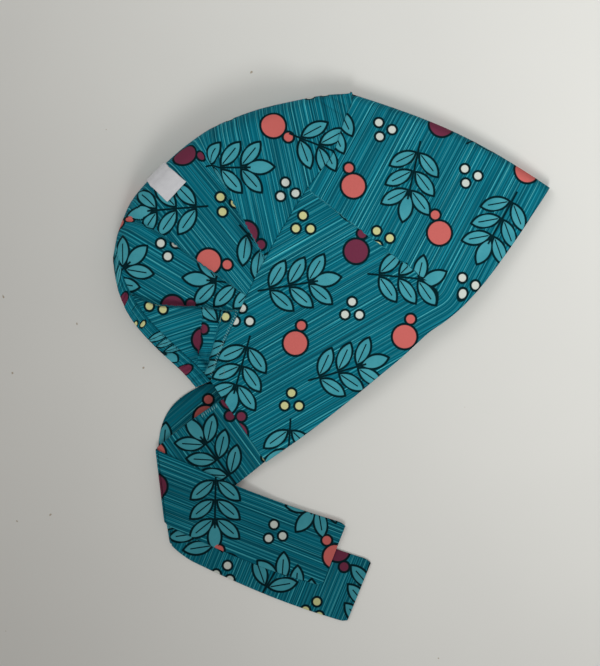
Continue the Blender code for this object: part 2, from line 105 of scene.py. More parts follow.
# %% Lights
# Name, place to the right, up in the picture and over the table, then the side of the square
# lamp, all in metres. Then watts, colour, spread in degrees and the place it is aimed at.
LAMPS = [
    ("window_light", (0.15, -0.95, 1.15), 0.7, 1.8, (1.0, 0.99, 0.97), 47.0, (0.43, 0.39)),
    ("ceiling_light", (0.45, 0.35, 1.45), 1.3, 0.95, (0.97, 1.0, 0.99), 43.0, (0.47, 0.36)),
    ("far_light", (-0.45, 0.75, 1.20), 1.0, 1.1, (0.99, 1.0, 0.99), 54.0, (0.34, 0.32))]
SKY_COLOUR = (1.0, 0.95, 0.90, 1.0)
SKY_STRENGTH = 0.37


def in_picture(right, up, height=0.0):
    """A point in metres to the right and up in the picture."""
    return image_right * right + image_up * up + Vector((0.0, 0.0, height))


def lamp(name, place, size, power, colour, spread, aim):
    light = bpy.data.lights.new(name, "AREA")
    light.size = size
    light.energy = power
    light.color = colour
    light.spread = math.radians(spread)
    item = add_object(name, light)
    item.location = in_picture(*place)
    item.rotation_euler = (in_picture(*aim) - item.location).to_track_quat("-Z", "Y").to_euler()


for row in LAMPS:
    lamp(*row)
sky = bpy.data.worlds.new("room")
sky.use_nodes = True
sky.node_tree.nodes["Background"].inputs["Color"].default_value = SKY_COLOUR
sky.node_tree.nodes["Background"].inputs["Strength"].default_value = SKY_STRENGTH
bpy.context.scene.world = sky
bpy.context.scene.view_settings.view_transform = "Standard"

# %% [markdown]
# ## Shader maths
#
# A print on cloth is drawn with sums and products of many sockets. Wired by hand that is
# hard to read, so a small class wraps a socket, and an expression on it adds Math nodes.

# %% Socket class
class Value:
    """One output of a node. Arithmetic on it adds Math nodes to its material."""

    def __init__(self, finish, socket):
        self.finish = finish
        self.socket = socket

    def __add__(self, other):
        return self.finish.maths("ADD", self, other)

    def __sub__(self, other):
        return self.finish.maths("SUBTRACT", self, other)

    def __rsub__(self, other):
        return self.finish.maths("SUBTRACT", other, self)

    def __mul__(self, other):
        return self.finish.maths("MULTIPLY", self, other)

    def __truediv__(self, other):
        return self.finish.maths("DIVIDE", self, other)

    __radd__ = __add__
    __rmul__ = __mul__


class Finish:
    """A material that is being put together."""

    def __init__(self, name, roughness=0.85):
        self.material = bpy.data.materials.new(name)
        self.material.use_nodes = True
        self.tree = self.material.node_tree
        self.shader = self.tree.nodes["Principled BSDF"]
        self.shader.inputs["Roughness"].default_value = roughness
        self.shader.inputs["Specular IOR Level"].default_value = 0.05

    def put(self, socket, value):
        """Set a socket to a number or colour, or link a value to it."""
        if isinstance(value, Value):
            self.tree.links.new(value.socket, socket)
        else:
            socket.default_value = value

    def node(self, kind, settings, inputs, output=0):
        """Add a node: its settings first, then its sockets by name or number."""
        item = self.tree.nodes.new(kind)
        for key, value in settings.items():
            if key == "stops":
                ramp = item.color_ramp
                while len(ramp.elements) < len(value):
                    ramp.elements.new(1.0)
                for stop, (place, colour) in zip(ramp.elements, value):
                    stop.position = place
                    stop.color = (*colour, 1.0)
            else:
                setattr(item, key, value)
        for key, value in inputs.items():
            self.put(item.inputs[key], value)
        return Value(self, item.outputs[output])

    def maths(self, operation, *values, clamp=False):
        """A Math node."""
        settings = {"operation": operation, "use_clamp": clamp}
        return self.node("ShaderNodeMath", settings, dict(enumerate(values)))

    def inside(self, distance, edge, soft):
        """1 where the distance is under the edge, 0 over it, with a soft change between."""
        return self.maths("MULTIPLY_ADD", distance, -1.0 / soft, edge / soft + 0.5, clamp=True)

    def length(self, x, y):
        """Distance of a point from the origin."""
        return self.maths("SQRT", x * x + y * y)

    def blend(self, share, first, second):
        """Mix two colours."""
        item = self.tree.nodes.new("ShaderNodeMix")
        item.data_type = "RGBA"
        self.put(item.inputs[0], share)
        for socket, value in ((item.inputs[6], first), (item.inputs[7], second)):
            self.put(socket, value if isinstance(value, Value) else (*value, 1.0))
        return Value(self, item.outputs[2])

    def use(self, **sockets):
        """Feed the shader's own sockets."""
        for name, value in sockets.items():
            self.put(self.shader.inputs[name.replace("_", " ")], value)


def dye(red, green, blue):
    """A colour as a screen shows it, 0 to 255, as the linear colour that a shader takes."""
    shares = [part / 255.0 for part in (red, green, blue)]
    return tuple(s / 12.92 if s <= 0.04045 else ((s + 0.055) / 1.055) ** 2.4 for s in shares)


print("a mid teal is", [round(x, 3) for x in dye(16, 118, 132)])

# %% [markdown]
# ## Printed cotton
#
# The ground is a common fine streak, dark and light hairlines in teal. Over it lies a plain
# tossed print of leaf sprays with round berries and small dots, in flat colours inside dark
# outlines. Every shape is a distance in millimetres on the cloth's own UV map, so the print
# follows each piece as it was cut and breaks at the seams. A half-drop lattice places the
# sprays, and white noise turns each one.

# %% Streaked ground
GROUND_DARK = (0, 80, 97)
GROUND_MID = (0, 95, 114)
GROUND_LIGHT = (0, 110, 131)
# Sets of hairlines: pitch in millimetres, place in the noise, width, strength and colour.
HAIRLINES = [
    (1.15, 71.0, 0.45, 0.85, (0, 50, 66)), (1.45, 7.0, 0.42, 1.2, (38, 154, 174)),
    (2.6, 97.0, 0.44, 1.2, (86, 192, 202))]


def streaks(finish, x, y):
    """Teal ground with hairlines that run along x."""
    def noise(length, pitch, offset):
        """Noise drawn out along x, with about that length and pitch in millimetres."""
        place = finish.node("ShaderNodeCombineXYZ", {}, {"X": x / length + offset, "Y": y / pitch})
        return finish.node("ShaderNodeTexNoise", {}, {"Vector": place, "Scale": 1.0, "Detail": 0.0})

    tone = noise(170.0, 1.0, 3.0) * 0.7 + noise(260.0, 5.0, 50.0) * 0.3
    stops = [(0.34, dye(*GROUND_DARK)), (0.50, dye(*GROUND_MID)), (0.66, dye(*GROUND_LIGHT))]
    colour = finish.node("ShaderNodeValToRGB", {"stops": stops}, {"Fac": tone})
    for pitch, offset, width, strength, tint in HAIRLINES:
        place = y / pitch + noise(320.0, 7.0, offset) * (3.4 / pitch)
        index = finish.maths("FLOOR", place)
        away = finish.maths("ABSOLUTE", place - index - 0.5) * pitch
        chance = finish.node("ShaderNodeTexWhiteNoise", {"noise_dimensions": "1D"},
                             {"W": index + offset})
        faded = noise(45.0, 2.5, offset + 40.0) * 1.5 - 0.2
        share = chance * 0.8 + 0.2
        line = finish.inside(away, width / 2.0, 0.2) * share * faded * strength
        colour = finish.blend(line, colour, dye(*tint))
    return colour


print("hairlines every", [row[0] for row in HAIRLINES], "mm")

# %% Print shapes
# All in millimetres. A spray has pairs of leaves along its stem and one leaf at its tip.
PITCH = 60.0             # print repeat
OUTLINE = 1.45           # width of the dark outlines
LEAF_LONG, LEAF_HALF = 18.5, 4.3
TIP_LONG, TIP_START = 18.0, 8.0
LEAF_GAP = 12.0          # from one pair of leaves to the next
LEAF_STALK = 1.5
LEAF_LEAN = math.radians(50.0)
MIDDLE_PAIR = -7.0       # where the middle pair leaves the stem
STEM_HALF = 18.0
RIB_END = 15.0
BERRY, SMALL_BERRY, DOT = 7.8, 3.4, 3.0      # radii


def leaf_distance(finish, x, y, length, width):
    """Signed distance in millimetres from a pointed leaf that starts at the origin along x."""
    half = length / 2.0
    bulge = (half * half - width * width) / (2.0 * width)
    return finish.length(x - half, finish.maths("ABSOLUTE", y) + bulge) - (bulge + width)


def leaf_spray(finish, x, y):
    """Distance from the leaves of one spray, from its stem, and from the leaves' midribs."""
    side = finish.maths("ABSOLUTE", y)
    cosine, sine = math.cos(LEAF_LEAN), math.sin(LEAF_LEAN)
    twig = finish.maths("ROUND", (x - MIDDLE_PAIR - side / math.tan(LEAF_LEAN)) / LEAF_GAP)
    twig = finish.maths("MINIMUM", finish.maths("MAXIMUM", twig, -1.0), 1.0)
    start = x - MIDDLE_PAIR - twig * LEAF_GAP
    along = start * cosine + side * sine
    across = side * cosine - start * sine
    leaves = leaf_distance(finish, along - LEAF_STALK, across, LEAF_LONG, LEAF_HALF)
    tip = leaf_distance(finish, x - TIP_START, y, TIP_LONG, LEAF_HALF)
    ribs = finish.maths("MAXIMUM", finish.maths("ABSOLUTE", across), along - RIB_END)
    stem = finish.maths("MAXIMUM", finish.maths("ABSOLUTE", x - MIDDLE_PAIR) - STEM_HALF, side)
    return finish.maths("MINIMUM", leaves, tip), stem, ribs


def berries_and_dots(finish, x, y):
    """Distances from a pair of round berries and from a trio of dots. y is 0 on their line."""
    third = PITCH / 3.0
    berry = finish.length(x - third, y) - BERRY
    small = finish.length(x - third + 8.5, y - 7.5) - SMALL_BERRY
    level = finish.maths("ABSOLUTE", y)
    upright = finish.length(x + third + 2.6, level - 4.6)
    single = finish.length(x + third - 5.0, y)
    return finish.maths("MINIMUM", berry, small), finish.maths("MINIMUM", upright, single) - DOT


print("print repeats every", PITCH, "mm")


# %% Cotton
PETAL = (44, 136, 153), (84, 172, 185)       # darker and lighter patches of one leaf
CORAL, PLUM = (203, 104, 100), (112, 48, 72)
WHITE, CREAM = (206, 214, 208), (205, 208, 150)
INK = (0, 32, 38)                            # the dark outlines
FADED = (120, 172, 176)                      # veil over the wrong side
THREADS_APART = 0.5                          # of the weave, in millimetres
# painted shade: the ties' colour is multiplied by this, so they come out darker than the rest
TIES_PAINTED_SHADE = 0.74


def cotton(name, wrong_side=False, tone=1.0):
    """The printed cotton. The wrong side of the cloth shows the print faintly. A tone under 1
    darkens the colour towards black as painted shade."""
    finish = Finish(name)
    place = finish.node("ShaderNodeUVMap", {"uv_map": "cut"}, {})
    x = finish.node("ShaderNodeSeparateXYZ", {}, {0: place}, 0) * 1000.0
    y = finish.node("ShaderNodeSeparateXYZ", {}, {0: place}, 1) * 1000.0
    ground = streaks(finish, x, y)

    column = finish.maths("FLOOR", x / PITCH)
    local_x = x - column * PITCH - PITCH / 2.0
    drop = y + finish.maths("FLOORED_MODULO", column, 2.0) * (PITCH / 2.0)
    row = finish.maths("FLOOR", drop / PITCH)
    local_y = drop - row * PITCH - PITCH / 2.0
    cell = finish.node("ShaderNodeCombineXYZ", {}, {"X": column, "Y": row, "Z": 3.0})
    chance = finish.node("ShaderNodeTexWhiteNoise", {}, {"Vector": cell}, 0)
    angle = chance * (2.0 * math.pi)
    cosine = finish.maths("COSINE", angle)
    sine = finish.maths("SINE", angle)
    leaf, stem, rib = leaf_spray(finish, local_x * cosine + local_y * sine,
                                 local_y * cosine - local_x * sine)

    next_row = finish.maths("ROUND", drop / PITCH)
    between = drop - next_row * PITCH
    second = finish.node("ShaderNodeCombineXYZ", {}, {"X": column, "Y": next_row, "Z": 7.0})
    pick = finish.node("ShaderNodeTexWhiteNoise", {}, {"Vector": second}, 0)
    berries, dots = berries_and_dots(finish, local_x, between)

    shapes = finish.maths("MINIMUM", finish.maths("MINIMUM", leaf, berries), dots)
    line = finish.maths("MINIMUM", finish.maths("ABSOLUTE", shapes), stem + 0.1)
    dark = finish.inside(line, OUTLINE / 2.0, 0.35)
    vein = finish.inside(rib, 0.4, 0.3) * finish.inside(leaf, -1.0, 0.3)
    dark = finish.maths("MAXIMUM", dark, vein)

    mottle = finish.node("ShaderNodeTexNoise", {}, {"Vector": place, "Scale": 90.0, "Detail": 3.0})
    petal = finish.blend(mottle, dye(*PETAL[0]), dye(*PETAL[1]))
    colour = finish.blend(finish.inside(leaf, 0.0, 0.3), ground, petal)
    fruit = finish.blend(finish.inside(pick, 0.5, 0.01), dye(*CORAL), dye(*PLUM))
    colour = finish.blend(finish.inside(berries, 0.0, 0.3), colour, fruit)
    spot = finish.blend(finish.inside(pick, 0.4, 0.01), dye(*WHITE), dye(*CREAM))
    colour = finish.blend(finish.inside(dots, 0.0, 0.3), colour, spot)
    colour = finish.blend(dark, colour, dye(*INK))
    if wrong_side:
        colour = finish.blend(0.62, colour, dye(*FADED))
    # painted shade: a tone under 1 darkens the colour towards black
    if tone < 1.0:
        colour = finish.blend(1.0 - tone, colour, dye(0, 0, 0))

    thread = 2.0 * math.pi / THREADS_APART
    weave = finish.maths("SINE", x * thread) * finish.maths("SINE", y * thread)
    fuzz = finish.node("ShaderNodeTexNoise", {}, {"Vector": place, "Scale": 900.0, "Detail": 2.0})
    bump = finish.node("ShaderNodeBump", {}, {"Strength": 0.25, "Distance": 0.0002,
                                              "Height": weave * 0.5 + fuzz})
    finish.use(Base_Color=colour, Normal=bump)
    finish.shader.inputs["Sheen Weight"].default_value = 0.01
    finish.shader.inputs["Sheen Roughness"].default_value = 0.5
    return finish.material


cotton_print = cotton("cotton_print")
cotton_wrong_side = cotton("cotton_wrong_side", wrong_side=True)
# the ties' cotton, darkened with painted shade
cotton_ties_painted_shade = cotton("cotton_ties_painted_shade", tone=TIES_PAINTED_SHADE)
print("print nodes:", len(cotton_print.node_tree.nodes))

# %% [markdown]
# ## Plan of the folded cap
#
# The sizes and curves are the frame's own, so the fine cloth lies where the solids lie.
# "back" runs from the forehead fold towards the nape, "up" from the brim towards the crown.
# Each piece is a patch between four outline curves, read on a fine grid with numpy.

# %% Sizes
# In metres. A bow is how far a curve stands off its chord, a loft is a height over the table.
CLOTH = 0.0012                # thickness of the turned and pressed cotton
HALF_BRIM = 0.245
BRIM_BOW = 0.015
APEX = np.array((0.048, 0.127))        # where forehead fold, crown seam and back seam meet
FOREHEAD_BOW = 0.0062
SEAM_END = np.array((0.234, 0.060))    # where crown seam, tie seam and casing meet
CROWN_UP = 0.175
NAPE = np.array((0.222, 0.1587))       # lower end of the centre-back seam
NAPE_BOW = 0.0118
CASING_WIDTH = 0.010
CASING_RISE = 0.0035
BRIM_LOFT = 0.014
PANEL_LOFT = 0.021
SEAM_LOFT = 0.029
CROWN_LOFT = 0.037
FOLD_ROUND = 0.007            # depth of the rounding at the forehead fold
FOLD_MID = 0.42               # height of a fold's own edge, as a share of the cap's there
ROUND_SHARE = 0.22            # part of the crown that rounds down to the centre-back seam
SHIFT = (0.16191, -0.03453)   # from the plan's forehead corner to the model's centre

BRIM_TABLE = [   # share along the brim, share of the bow
    (0.00, 0.00), (0.07, 0.25), (0.18, 0.63), (0.29, 0.92), (0.37, 1.00), (0.43, 0.93),
    (0.48, 0.80), (0.57, 0.76), (0.66, 0.65), (0.76, 0.52), (0.88, 0.30), (1.00, 0.00)]
SEAM_TABLE = [   # shares of the run back and of the drop
    (0.000, 1.000), (0.028, 0.925), (0.075, 0.875), (0.124, 0.803), (0.202, 0.700),
    (0.330, 0.638), (0.460, 0.549), (0.609, 0.430), (0.743, 0.297), (0.899, 0.130), (1.000, 0.000)]
BACK_TABLE = [   # shares of the run to the nape and of the rise to the crown's top
    (0.000, 0.000), (0.082, 0.250), (0.197, 0.508), (0.321, 0.740), (0.441, 0.905),
    (0.540, 0.970), (0.640, 0.996), (0.736, 0.996), (0.822, 0.965), (0.880, 0.900),
    (0.947, 0.790), (1.000, 0.662)]
NAPE_TABLE = [   # share of the chord, share of the bow
    (0.00, 0.00), (0.06, 0.32), (0.24, 0.90), (0.42, 1.00), (0.63, 0.72), (0.87, 0.20),
    (1.00, 0.00)]
PANEL_HEIGHTS = [   # share from forehead to tie seam, then brim, middle and seam
    (0.00, 0.62, 0.52, 0.38), (0.15, 0.80, 0.76, 0.70), (0.40, 1.00, 1.00, 1.00),
    (0.65, 0.92, 0.93, 0.96), (0.85, 0.66, 0.72, 0.78), (1.00, 0.44, 0.50, 0.50)]
CROWN_HEIGHTS = [   # share from the apex to the nape, share of the loft
    (0.00, 0.30), (0.15, 0.52), (0.35, 0.86), (0.60, 1.00), (0.82, 0.90), (1.00, 0.52)]
BRIM_END = np.array((HALF_BRIM, 0.0))
print("plan is", HALF_BRIM * 1000, "mm along the brim and", CROWN_UP * 1000, "mm high")


# %% Curves
def mix(start, end, share):
    """Straight interpolation."""
    return start + (end - start) * share


def ease(share):
    """Smooth step from 0 to 1, level at both ends."""
    share = np.clip(share, 0.0, 1.0)
    return share * share * (3.0 - 2.0 * share)


def curve(points, shares):
    """Points at shares of the length of a smooth curve through the given points."""
    points = np.array(points, float)
    shares = np.asarray(shares, float)
    steps = np.linalg.norm(np.diff(points, axis=0), axis=1)
    marks = np.concatenate([[0.0], np.cumsum(steps)])
    goal = np.clip(shares, 0.0, 1.0) * marks[-1]
    index = np.clip(np.searchsorted(marks, goal, side="right") - 1, 0, len(steps) - 1)
    ends = np.vstack([2.0 * points[0] - points[1], points, 2.0 * points[-1] - points[-2]])
    part = ((goal - marks[index]) / steps[index])[..., None]
    before, start, end, after = (ends[index + k] for k in range(4))
    return 0.5 * (2.0 * start + (end - before) * part
                  + (2.0 * before - 5.0 * start + 4.0 * end - after) * part ** 2
                  + (3.0 * start - before - 3.0 * end + after) * part ** 3)


def column(rows, share, index):
    """Smoothly read one column of a table whose first column is the share."""
    table = np.array(rows)
    share = np.clip(share, 0.0, 1.0)
    low = np.clip(np.searchsorted(table[:, 0], share, side="left") - 1, 0, len(rows) - 2)
    part = (share - table[low, 0]) / (table[low + 1, 0] - table[low, 0])
    return mix(table[low, index], table[low + 1, index], ease(part) * 0.5 + part * 0.5)


def pair(back, up):
    """Plan points of two arrays."""
    return np.stack(np.broadcast_arrays(back, up), axis=-1)


def forehead_fold(share):
    return APEX * share[..., None] - pair(FOREHEAD_BOW * np.sin(np.pi * share), 0.0)


def brim_edge(share):
    return curve([(row[0] * HALF_BRIM, -row[1] * BRIM_BOW) for row in BRIM_TABLE], share)


def tie_seam(share):
    return mix(BRIM_END, SEAM_END, np.asarray(share)[..., None])


def crown_seam(share):
    return curve([(mix(APEX[0], SEAM_END[0], b), mix(SEAM_END[1], APEX[1], u))
                  for b, u in SEAM_TABLE], share)


def centre_back(share):
    points = [(mix(APEX[0], NAPE[0], b), mix(APEX[1], CROWN_UP, u)) for b, u in BACK_TABLE]
    return curve(points[:-1] + [NAPE], share)


def nape_line(share, start, end):
    points = [mix(start, end, along) + np.array((bow * NAPE_BOW, 0.0)) for along, bow in NAPE_TABLE]
    return curve(points, 1.0 - share)


marks = centre_back(np.linspace(0.0, 1.0, 41))
BACK_SHARE = 1.0 - CASING_WIDTH / np.linalg.norm(np.diff(marks, axis=0), axis=1).sum()
CASING_TOP = centre_back(np.array(BACK_SHARE))
CASING_END = SEAM_END + np.array((CASING_WIDTH * 0.95, CASING_RISE))


def patch(bottom, top, left, right, u, v):
    """Plan points of a patch between four outline curves."""
    zero, one = np.zeros(1), np.ones(1)
    u2, v2 = u[..., None], v[..., None]
    sides = mix(bottom(u), top(u), v2) + mix(left(v), right(v), u2)
    low = mix(bottom(zero)[0], bottom(one)[0], u2)
    high = mix(top(zero)[0], top(one)[0], u2)
    return sides - mix(low, high, v2)


def panel_plan(u, v):
    return patch(brim_edge, crown_seam, forehead_fold, tie_seam, u, v)


def crown_plan(u, v):
    return patch(crown_seam, lambda s: centre_back(s * BACK_SHARE),
                 lambda s: APEX + 0.0 * s[..., None],
                 lambda s: nape_line(s, CASING_TOP, SEAM_END), u, v)


def casing_plan(across, v):
    top = nape_line(v, CASING_TOP, SEAM_END)
    return mix(top, nape_line(v, NAPE, CASING_END), across[..., None])


print("middle of the panel:", panel_plan(np.array([0.5]), np.array([0.5]))[0].round(4))

# %% [markdown]
# ## Folds of the near wall
#
# The near wall is a soft height field over the plan. Soft hollows and pressed folds are taken
# off it, each one a line on the plan with a depth and a width. At a pressed fold the cloth is
# high on one side of the line, hangs over it and is low on the other.

# %% Folds
# Soft hollows: points of the line as back and up, then depth and width, in millimetres.
# A negative depth is a crest.
VALLEYS = [
    ([(158.5, 89.0), (147.3, 129.6)], 5.20, 6.0),      # deep valley between the first two sectors
    ([(147.3, 129.6), (137.0, 168.0)], 0.80, 6.5),     # its shallow end
    ([(83.3, 132.4), (95.4, 122.6)], 1.50, 5.0),       # hollow beside the seam near the apex
    ([(95.4, 122.6), (120.6, 107.2)], 2.60, 6.0),
    ([(121.0, 112.0), (131.0, 140.0)], 1.60, 7.0),     # gathers that run out from the seam
    ([(165.0, 84.0), (172.0, 112.0)], 1.50, 5.0),
    ([(141.0, 98.0), (139.0, 122.0)], 1.30, 5.0),
    ([(75.0, 146.0), (80.0, 133.0)], 0.90, 4.0),
    ([(226.5, 114.0), (219.5, 107.0), (207.0, 94.0)], -2.20, 5.5),   # crest of the overhang
    ([(218.0, 94.0), (229.0, 72.0)], 5.60, 12.0),      # hollow between overhang and ties
    ([(243.0, 112.0), (239.0, 78.0)], 5.00, 14.0),     # the low cloth falls away to the nape
    ([(110.3, 103.3), (95.6, 8.8)], 0.35, 2.2),        # dart of the front panel
    ([(95.6, 8.8), (90.0, -10.0)], 0.50, 9.0),         # soft pucker beyond its tip
    ([(58.8, 105.0), (31.9, 31.5)], 1.40, 12.0),       # shallow hollow behind the forehead
    ([(171.5, 57.8), (137.2, 5.3)], 2.00, 13.0),       # shallow hollow above the brim
    ([(208.0, 40.0), (188.0, 2.0)], 1.40, 9.0)]
# Pressed folds: the line, depth, then the width of its left and right side. The cloth is
# high on the narrow side and turns under there.
SECOND_CREASE = [(203.2, 167.3), (196.0, 156.0), (191.2, 135.0), (188.3, 115.8), (182.5, 86.0)]
OVERHANG = [(231.0, 130.0), (224.7, 115.6), (218.7, 108.9), (205.5, 95.3), (196.0, 83.0)]
FIRST_PLEAT = [(228.6, 77.2), (205.5, 95.3)]
SECOND_PLEAT = [(224.0, 71.0), (198.4, 85.4)]
CREASES = [
    (SECOND_CREASE, 3.10, 1.0, 8.0),
    (OVERHANG, 8.00, 0.8, 16.0),
    (FIRST_PLEAT, 3.60, 0.8, 6.0),
    (SECOND_PLEAT, 3.00, 0.8, 4.5),
    ([(227.0, 80.0), (229.5, 66.0)], 4.00, 1.5, 2.5),      # tucks where the casing meets the ties
    ([(222.0, 73.5), (233.5, 66.5)], 4.00, 1.2, 2.0),
    ([(231.0, 76.0), (225.0, 63.5)], 3.00, 1.0, 1.8),
    ([(55.0, 136.0), (52.5, 127.5)], 1.00, 0.8, 1.6),      # small gathers at the apex
    ([(61.0, 139.0), (57.0, 124.5)], 1.10, 0.8, 1.8),
    ([(68.0, 141.0), (62.5, 121.5)], 0.90, 0.8, 2.0)]


def line_place(plan, points):
    """Share along a line of points, distance to it in metres, and its side, 1 for left."""
    points = np.array(points) / 1000.0
    found = None
    for index, (start, end) in enumerate(zip(points[:-1], points[1:])):
        run = end - start
        part = np.clip(((plan - start) @ run) / (run @ run), 0.0, 1.0)
        away = plan - start - part[..., None] * run
        side = np.where(run[0] * away[..., 1] - run[1] * away[..., 0] > 0.0, 1.0, -1.0)
        here = [(index + part) / (len(points) - 1), np.linalg.norm(away, axis=-1), side]
        if found:
            nearer = here[1] < found[1]
            here = [np.where(nearer, new, old) for new, old in zip(here, found)]
        found = here
    return found


def fold_depth(plan):
    """Depth in metres of the folds at plan points."""
    depth = np.zeros(plan.shape[:-1])
    for line, deep, wide in VALLEYS:
        along, away, _ = line_place(plan, line)
        fade = np.sin(np.pi * mix(0.18, 0.82, along))
        depth += deep / 1000.0 * fade * np.exp(-2.0 * (away * 1000.0 / wide) ** 2)
    for line, deep, left, right in CREASES:
        along, away, side = line_place(plan, line)
        fade = np.sin(np.pi * mix(0.2, 0.8, along))
        wide = np.where(side > 0.0, left, right)
        depth += deep / 1000.0 * fade * np.exp(-1.6 * away * 1000.0 / wide)
    return depth


def soft_waves(plan, size):
    """Slight unevenness of cloth that lies loose, a few slow waves."""
    back, up = plan[..., 0] * 1000.0, plan[..., 1] * 1000.0
    wave = (np.sin(back / 13.0 + up / 31.0 + 0.7) * np.sin(up / 17.0 - back / 41.0)
            + 0.6 * np.sin(back / 7.3 - up / 11.0 + 2.1) * np.sin(up / 9.1 + back / 19.0)
            + 0.35 * np.sin(back / 4.1 + up / 5.9) * np.sin(up / 6.3 - back / 8.7 + 1.0))
    return size * wave


print("valleys:", len(VALLEYS), "pressed folds:", len(CREASES))


# %% Heights
def panel_top(u, v):
    brim = column(PANEL_HEIGHTS, u, 1) * BRIM_LOFT
    middle = column(PANEL_HEIGHTS, u, 2) * PANEL_LOFT
    seam = column(PANEL_HEIGHTS, u, 3) * SEAM_LOFT
    return (brim * (1.0 - v) * (1.0 - 2.0 * v) + middle * 4.0 * v * (1.0 - v)
            + seam * v * (2.0 * v - 1.0))


def fold_height(v):
    return panel_top(np.zeros_like(v), v) * FOLD_MID


def edge_height(u):
    return mix(fold_height(np.ones_like(u)), CROWN_LOFT * column(CROWN_HEIGHTS, u, 1) * FOLD_MID,
               ease(u * 3.0))


def crown_top(u, v):
    seam = panel_top(u, np.ones_like(u))
    return mix(seam, column(CROWN_HEIGHTS, u, 1) * CROWN_LOFT, ease(v / 0.6))


print("middle of the panel lies", round(float(panel_top(0.5, 0.5)) * 1000.0, 1), "mm up")


# %% From the plan to the model
def rolled_out(plan, points, turn):
    """Plan points opened out along the first axis, so that the cloth that goes round an edge
    takes its true length there and the print isn't stretched."""
    step = np.diff(plan, axis=0)
    length = np.maximum(np.linalg.norm(step, axis=-1), 1e-9)
    extra = np.maximum(np.linalg.norm(np.diff(points, axis=0), axis=-1) - length, 0.0)
    extra = np.where(np.minimum(turn[1:], turn[:-1]) < 0.999, extra, 0.0)
    shift = np.cumsum(step * (extra / length)[..., None], axis=0)
    return plan + np.concatenate([np.zeros((1,) + shift.shape[1:]), shift])


def raised(plan, height):
    """Points in the model's axes, with the forehead towards +X."""
    return np.stack([SHIFT[0] - plan[..., 0], plan[..., 1] + SHIFT[1],
                     np.broadcast_to(height, plan.shape[:-1])], axis=-1)


# %% [markdown]
# ## Cloth from a grid
#
# Every sheet starts as a flat grid. Its points are carried to their places, its UV map gets
# the place of each point on the flat cut cloth in metres, and a Solidify modifier gives the
# cotton its thickness. The inner faces take the wrong side's finish.

# %% Sheet builder
def mesh_object(name, mesh, materials):
    """Turn a finished bmesh into an object with these materials."""
    data = bpy.data.meshes.new(name)
    mesh.to_mesh(data)
    mesh.free()
    data.shade_smooth()
    for material in materials:
        data.materials.append(material)
    return add_object(name, data)


def cloth_sheet(name, points, cut, facing, thickness=CLOTH, materials=None):
    """Sheet of cloth over a grid of points. facing is (row, column, 1 up or -1 down)."""
    rows, columns = points.shape[:2]
    mesh = bmesh.new()
    bmesh.ops.create_grid(mesh, x_segments=columns - 1, y_segments=rows - 1, size=1.0)
    mesh.verts.ensure_lookup_table()
    for vert, place in zip(mesh.verts, points.reshape(-1, 3)):
        vert.co = place
    layer = mesh.loops.layers.uv.new("cut")
    flat = cut.reshape(-1, 2)
    for face in mesh.faces:
        for loop in face.loops:
            loop[layer].uv = flat[loop.vert.index]
    row, place, sign = facing
    mesh.normal_update()
    mesh.faces.ensure_lookup_table()
    if mesh.faces[row * (columns - 1) + place].normal.z * sign < 0.0:
        bmesh.ops.reverse_faces(mesh, faces=list(mesh.faces))
    bmesh.ops.remove_doubles(mesh, verts=list(mesh.verts), dist=0.00001)
    area = sum(face.calc_area() for face in mesh.faces)
    item = mesh_object(name, mesh, materials or (cotton_print, cotton_wrong_side))
    if thickness:
        solid = item.modifiers.new("thickness", "SOLIDIFY")
        solid.thickness = thickness
        solid.offset = -1.0
        solid.material_offset = 1
    print(f"{name}: {rows} x {columns} points, {area * 10000:.1f} cm2")
    return item


def quarter(steps):
    """Angles of a quarter turn, from the edge of a fold to its level side."""
    return np.linspace(0.0, np.pi / 2.0, steps + 1)


# %% [markdown]
# ## Front panel
#
# One piece of cloth goes from the near tie seam round the forehead fold to the far tie seam.
# It is open along the brim, so the two walls are seen one behind the other from the front.
# The fold is a quarter turn up from each wall, a cosine and a sine, which stays round at any
# number of steps. The near wall is fine, the wall on the table needs few points.
#
# A print that is read straight off the plan smears where the cloth turns down. rolled_out
# gives the turned cloth its true length on the print, and opened lays the far wall out like a
# page, so the print runs on round the forehead. A dart is sewn into each side. The streaks
# meet at a slant on it and bend softly beyond its tip.

# %% Flat cloth of the front panel
DART_TIP = np.array((95.6, 8.8)) / 1000.0
DART_TOP = np.array((110.3, 103.3)) / 1000.0
STREAK_SLANT = 1.9        # degrees to the brim
DART_SLANT = 16.0         # degrees more or less on either side of the dart


def turned(points, degrees):
    """Plan points turned about the origin."""
    angle = np.radians(degrees)
    return pair(points[..., 0] * np.cos(angle) - points[..., 1] * np.sin(angle),
                points[..., 0] * np.sin(angle) + points[..., 1] * np.cos(angle))


def opened(plan, is_near):
    """The far side of the panel laid open like a page, across the forehead fold."""
    fold = APEX / np.linalg.norm(APEX)
    return np.where(is_near[..., None] > 0.5, plan, 2.0 * (plan @ fold)[..., None] * fold - plan)


def panel_cut(plan):
    """Place on the flat cloth. The streaks change their slant sharply at the dart and softly
    beyond its tip."""
    away = plan - DART_TIP
    lean = np.degrees(np.arctan2(*(DART_TOP - DART_TIP)))
    level = turned(away, lean)
    bearing = np.degrees(np.arctan2(level[..., 0], -level[..., 1])) - lean
    return turned(away, STREAK_SLANT - DART_SLANT * np.tanh(bearing / 24.0)) + 0.5


print("dart:", round(float(np.linalg.norm(DART_TOP - DART_TIP)) * 1000.0, 1), "mm long")

# %% Front panel
NEAR_COLUMNS, FAR_COLUMNS, FOLD_STEPS, PANEL_ROWS = 300, 50, 10, 90
PANEL_WAVE = 0.00022      # slow unevenness of the near wall
BRIM_TURN = 0.0006        # dip of the pressed edge along the brim


def panel_columns(count):
    """Shares from the forehead fold to the tie seam, with the turn of each."""
    angles = quarter(FOLD_STEPS)
    first = FOLD_ROUND / HALF_BRIM
    u = np.concatenate([first * (1.0 - np.cos(angles[:-1])), np.linspace(first, 1.0, count + 1)])
    return u, np.concatenate([np.sin(angles[:-1]), np.ones(count + 1)])


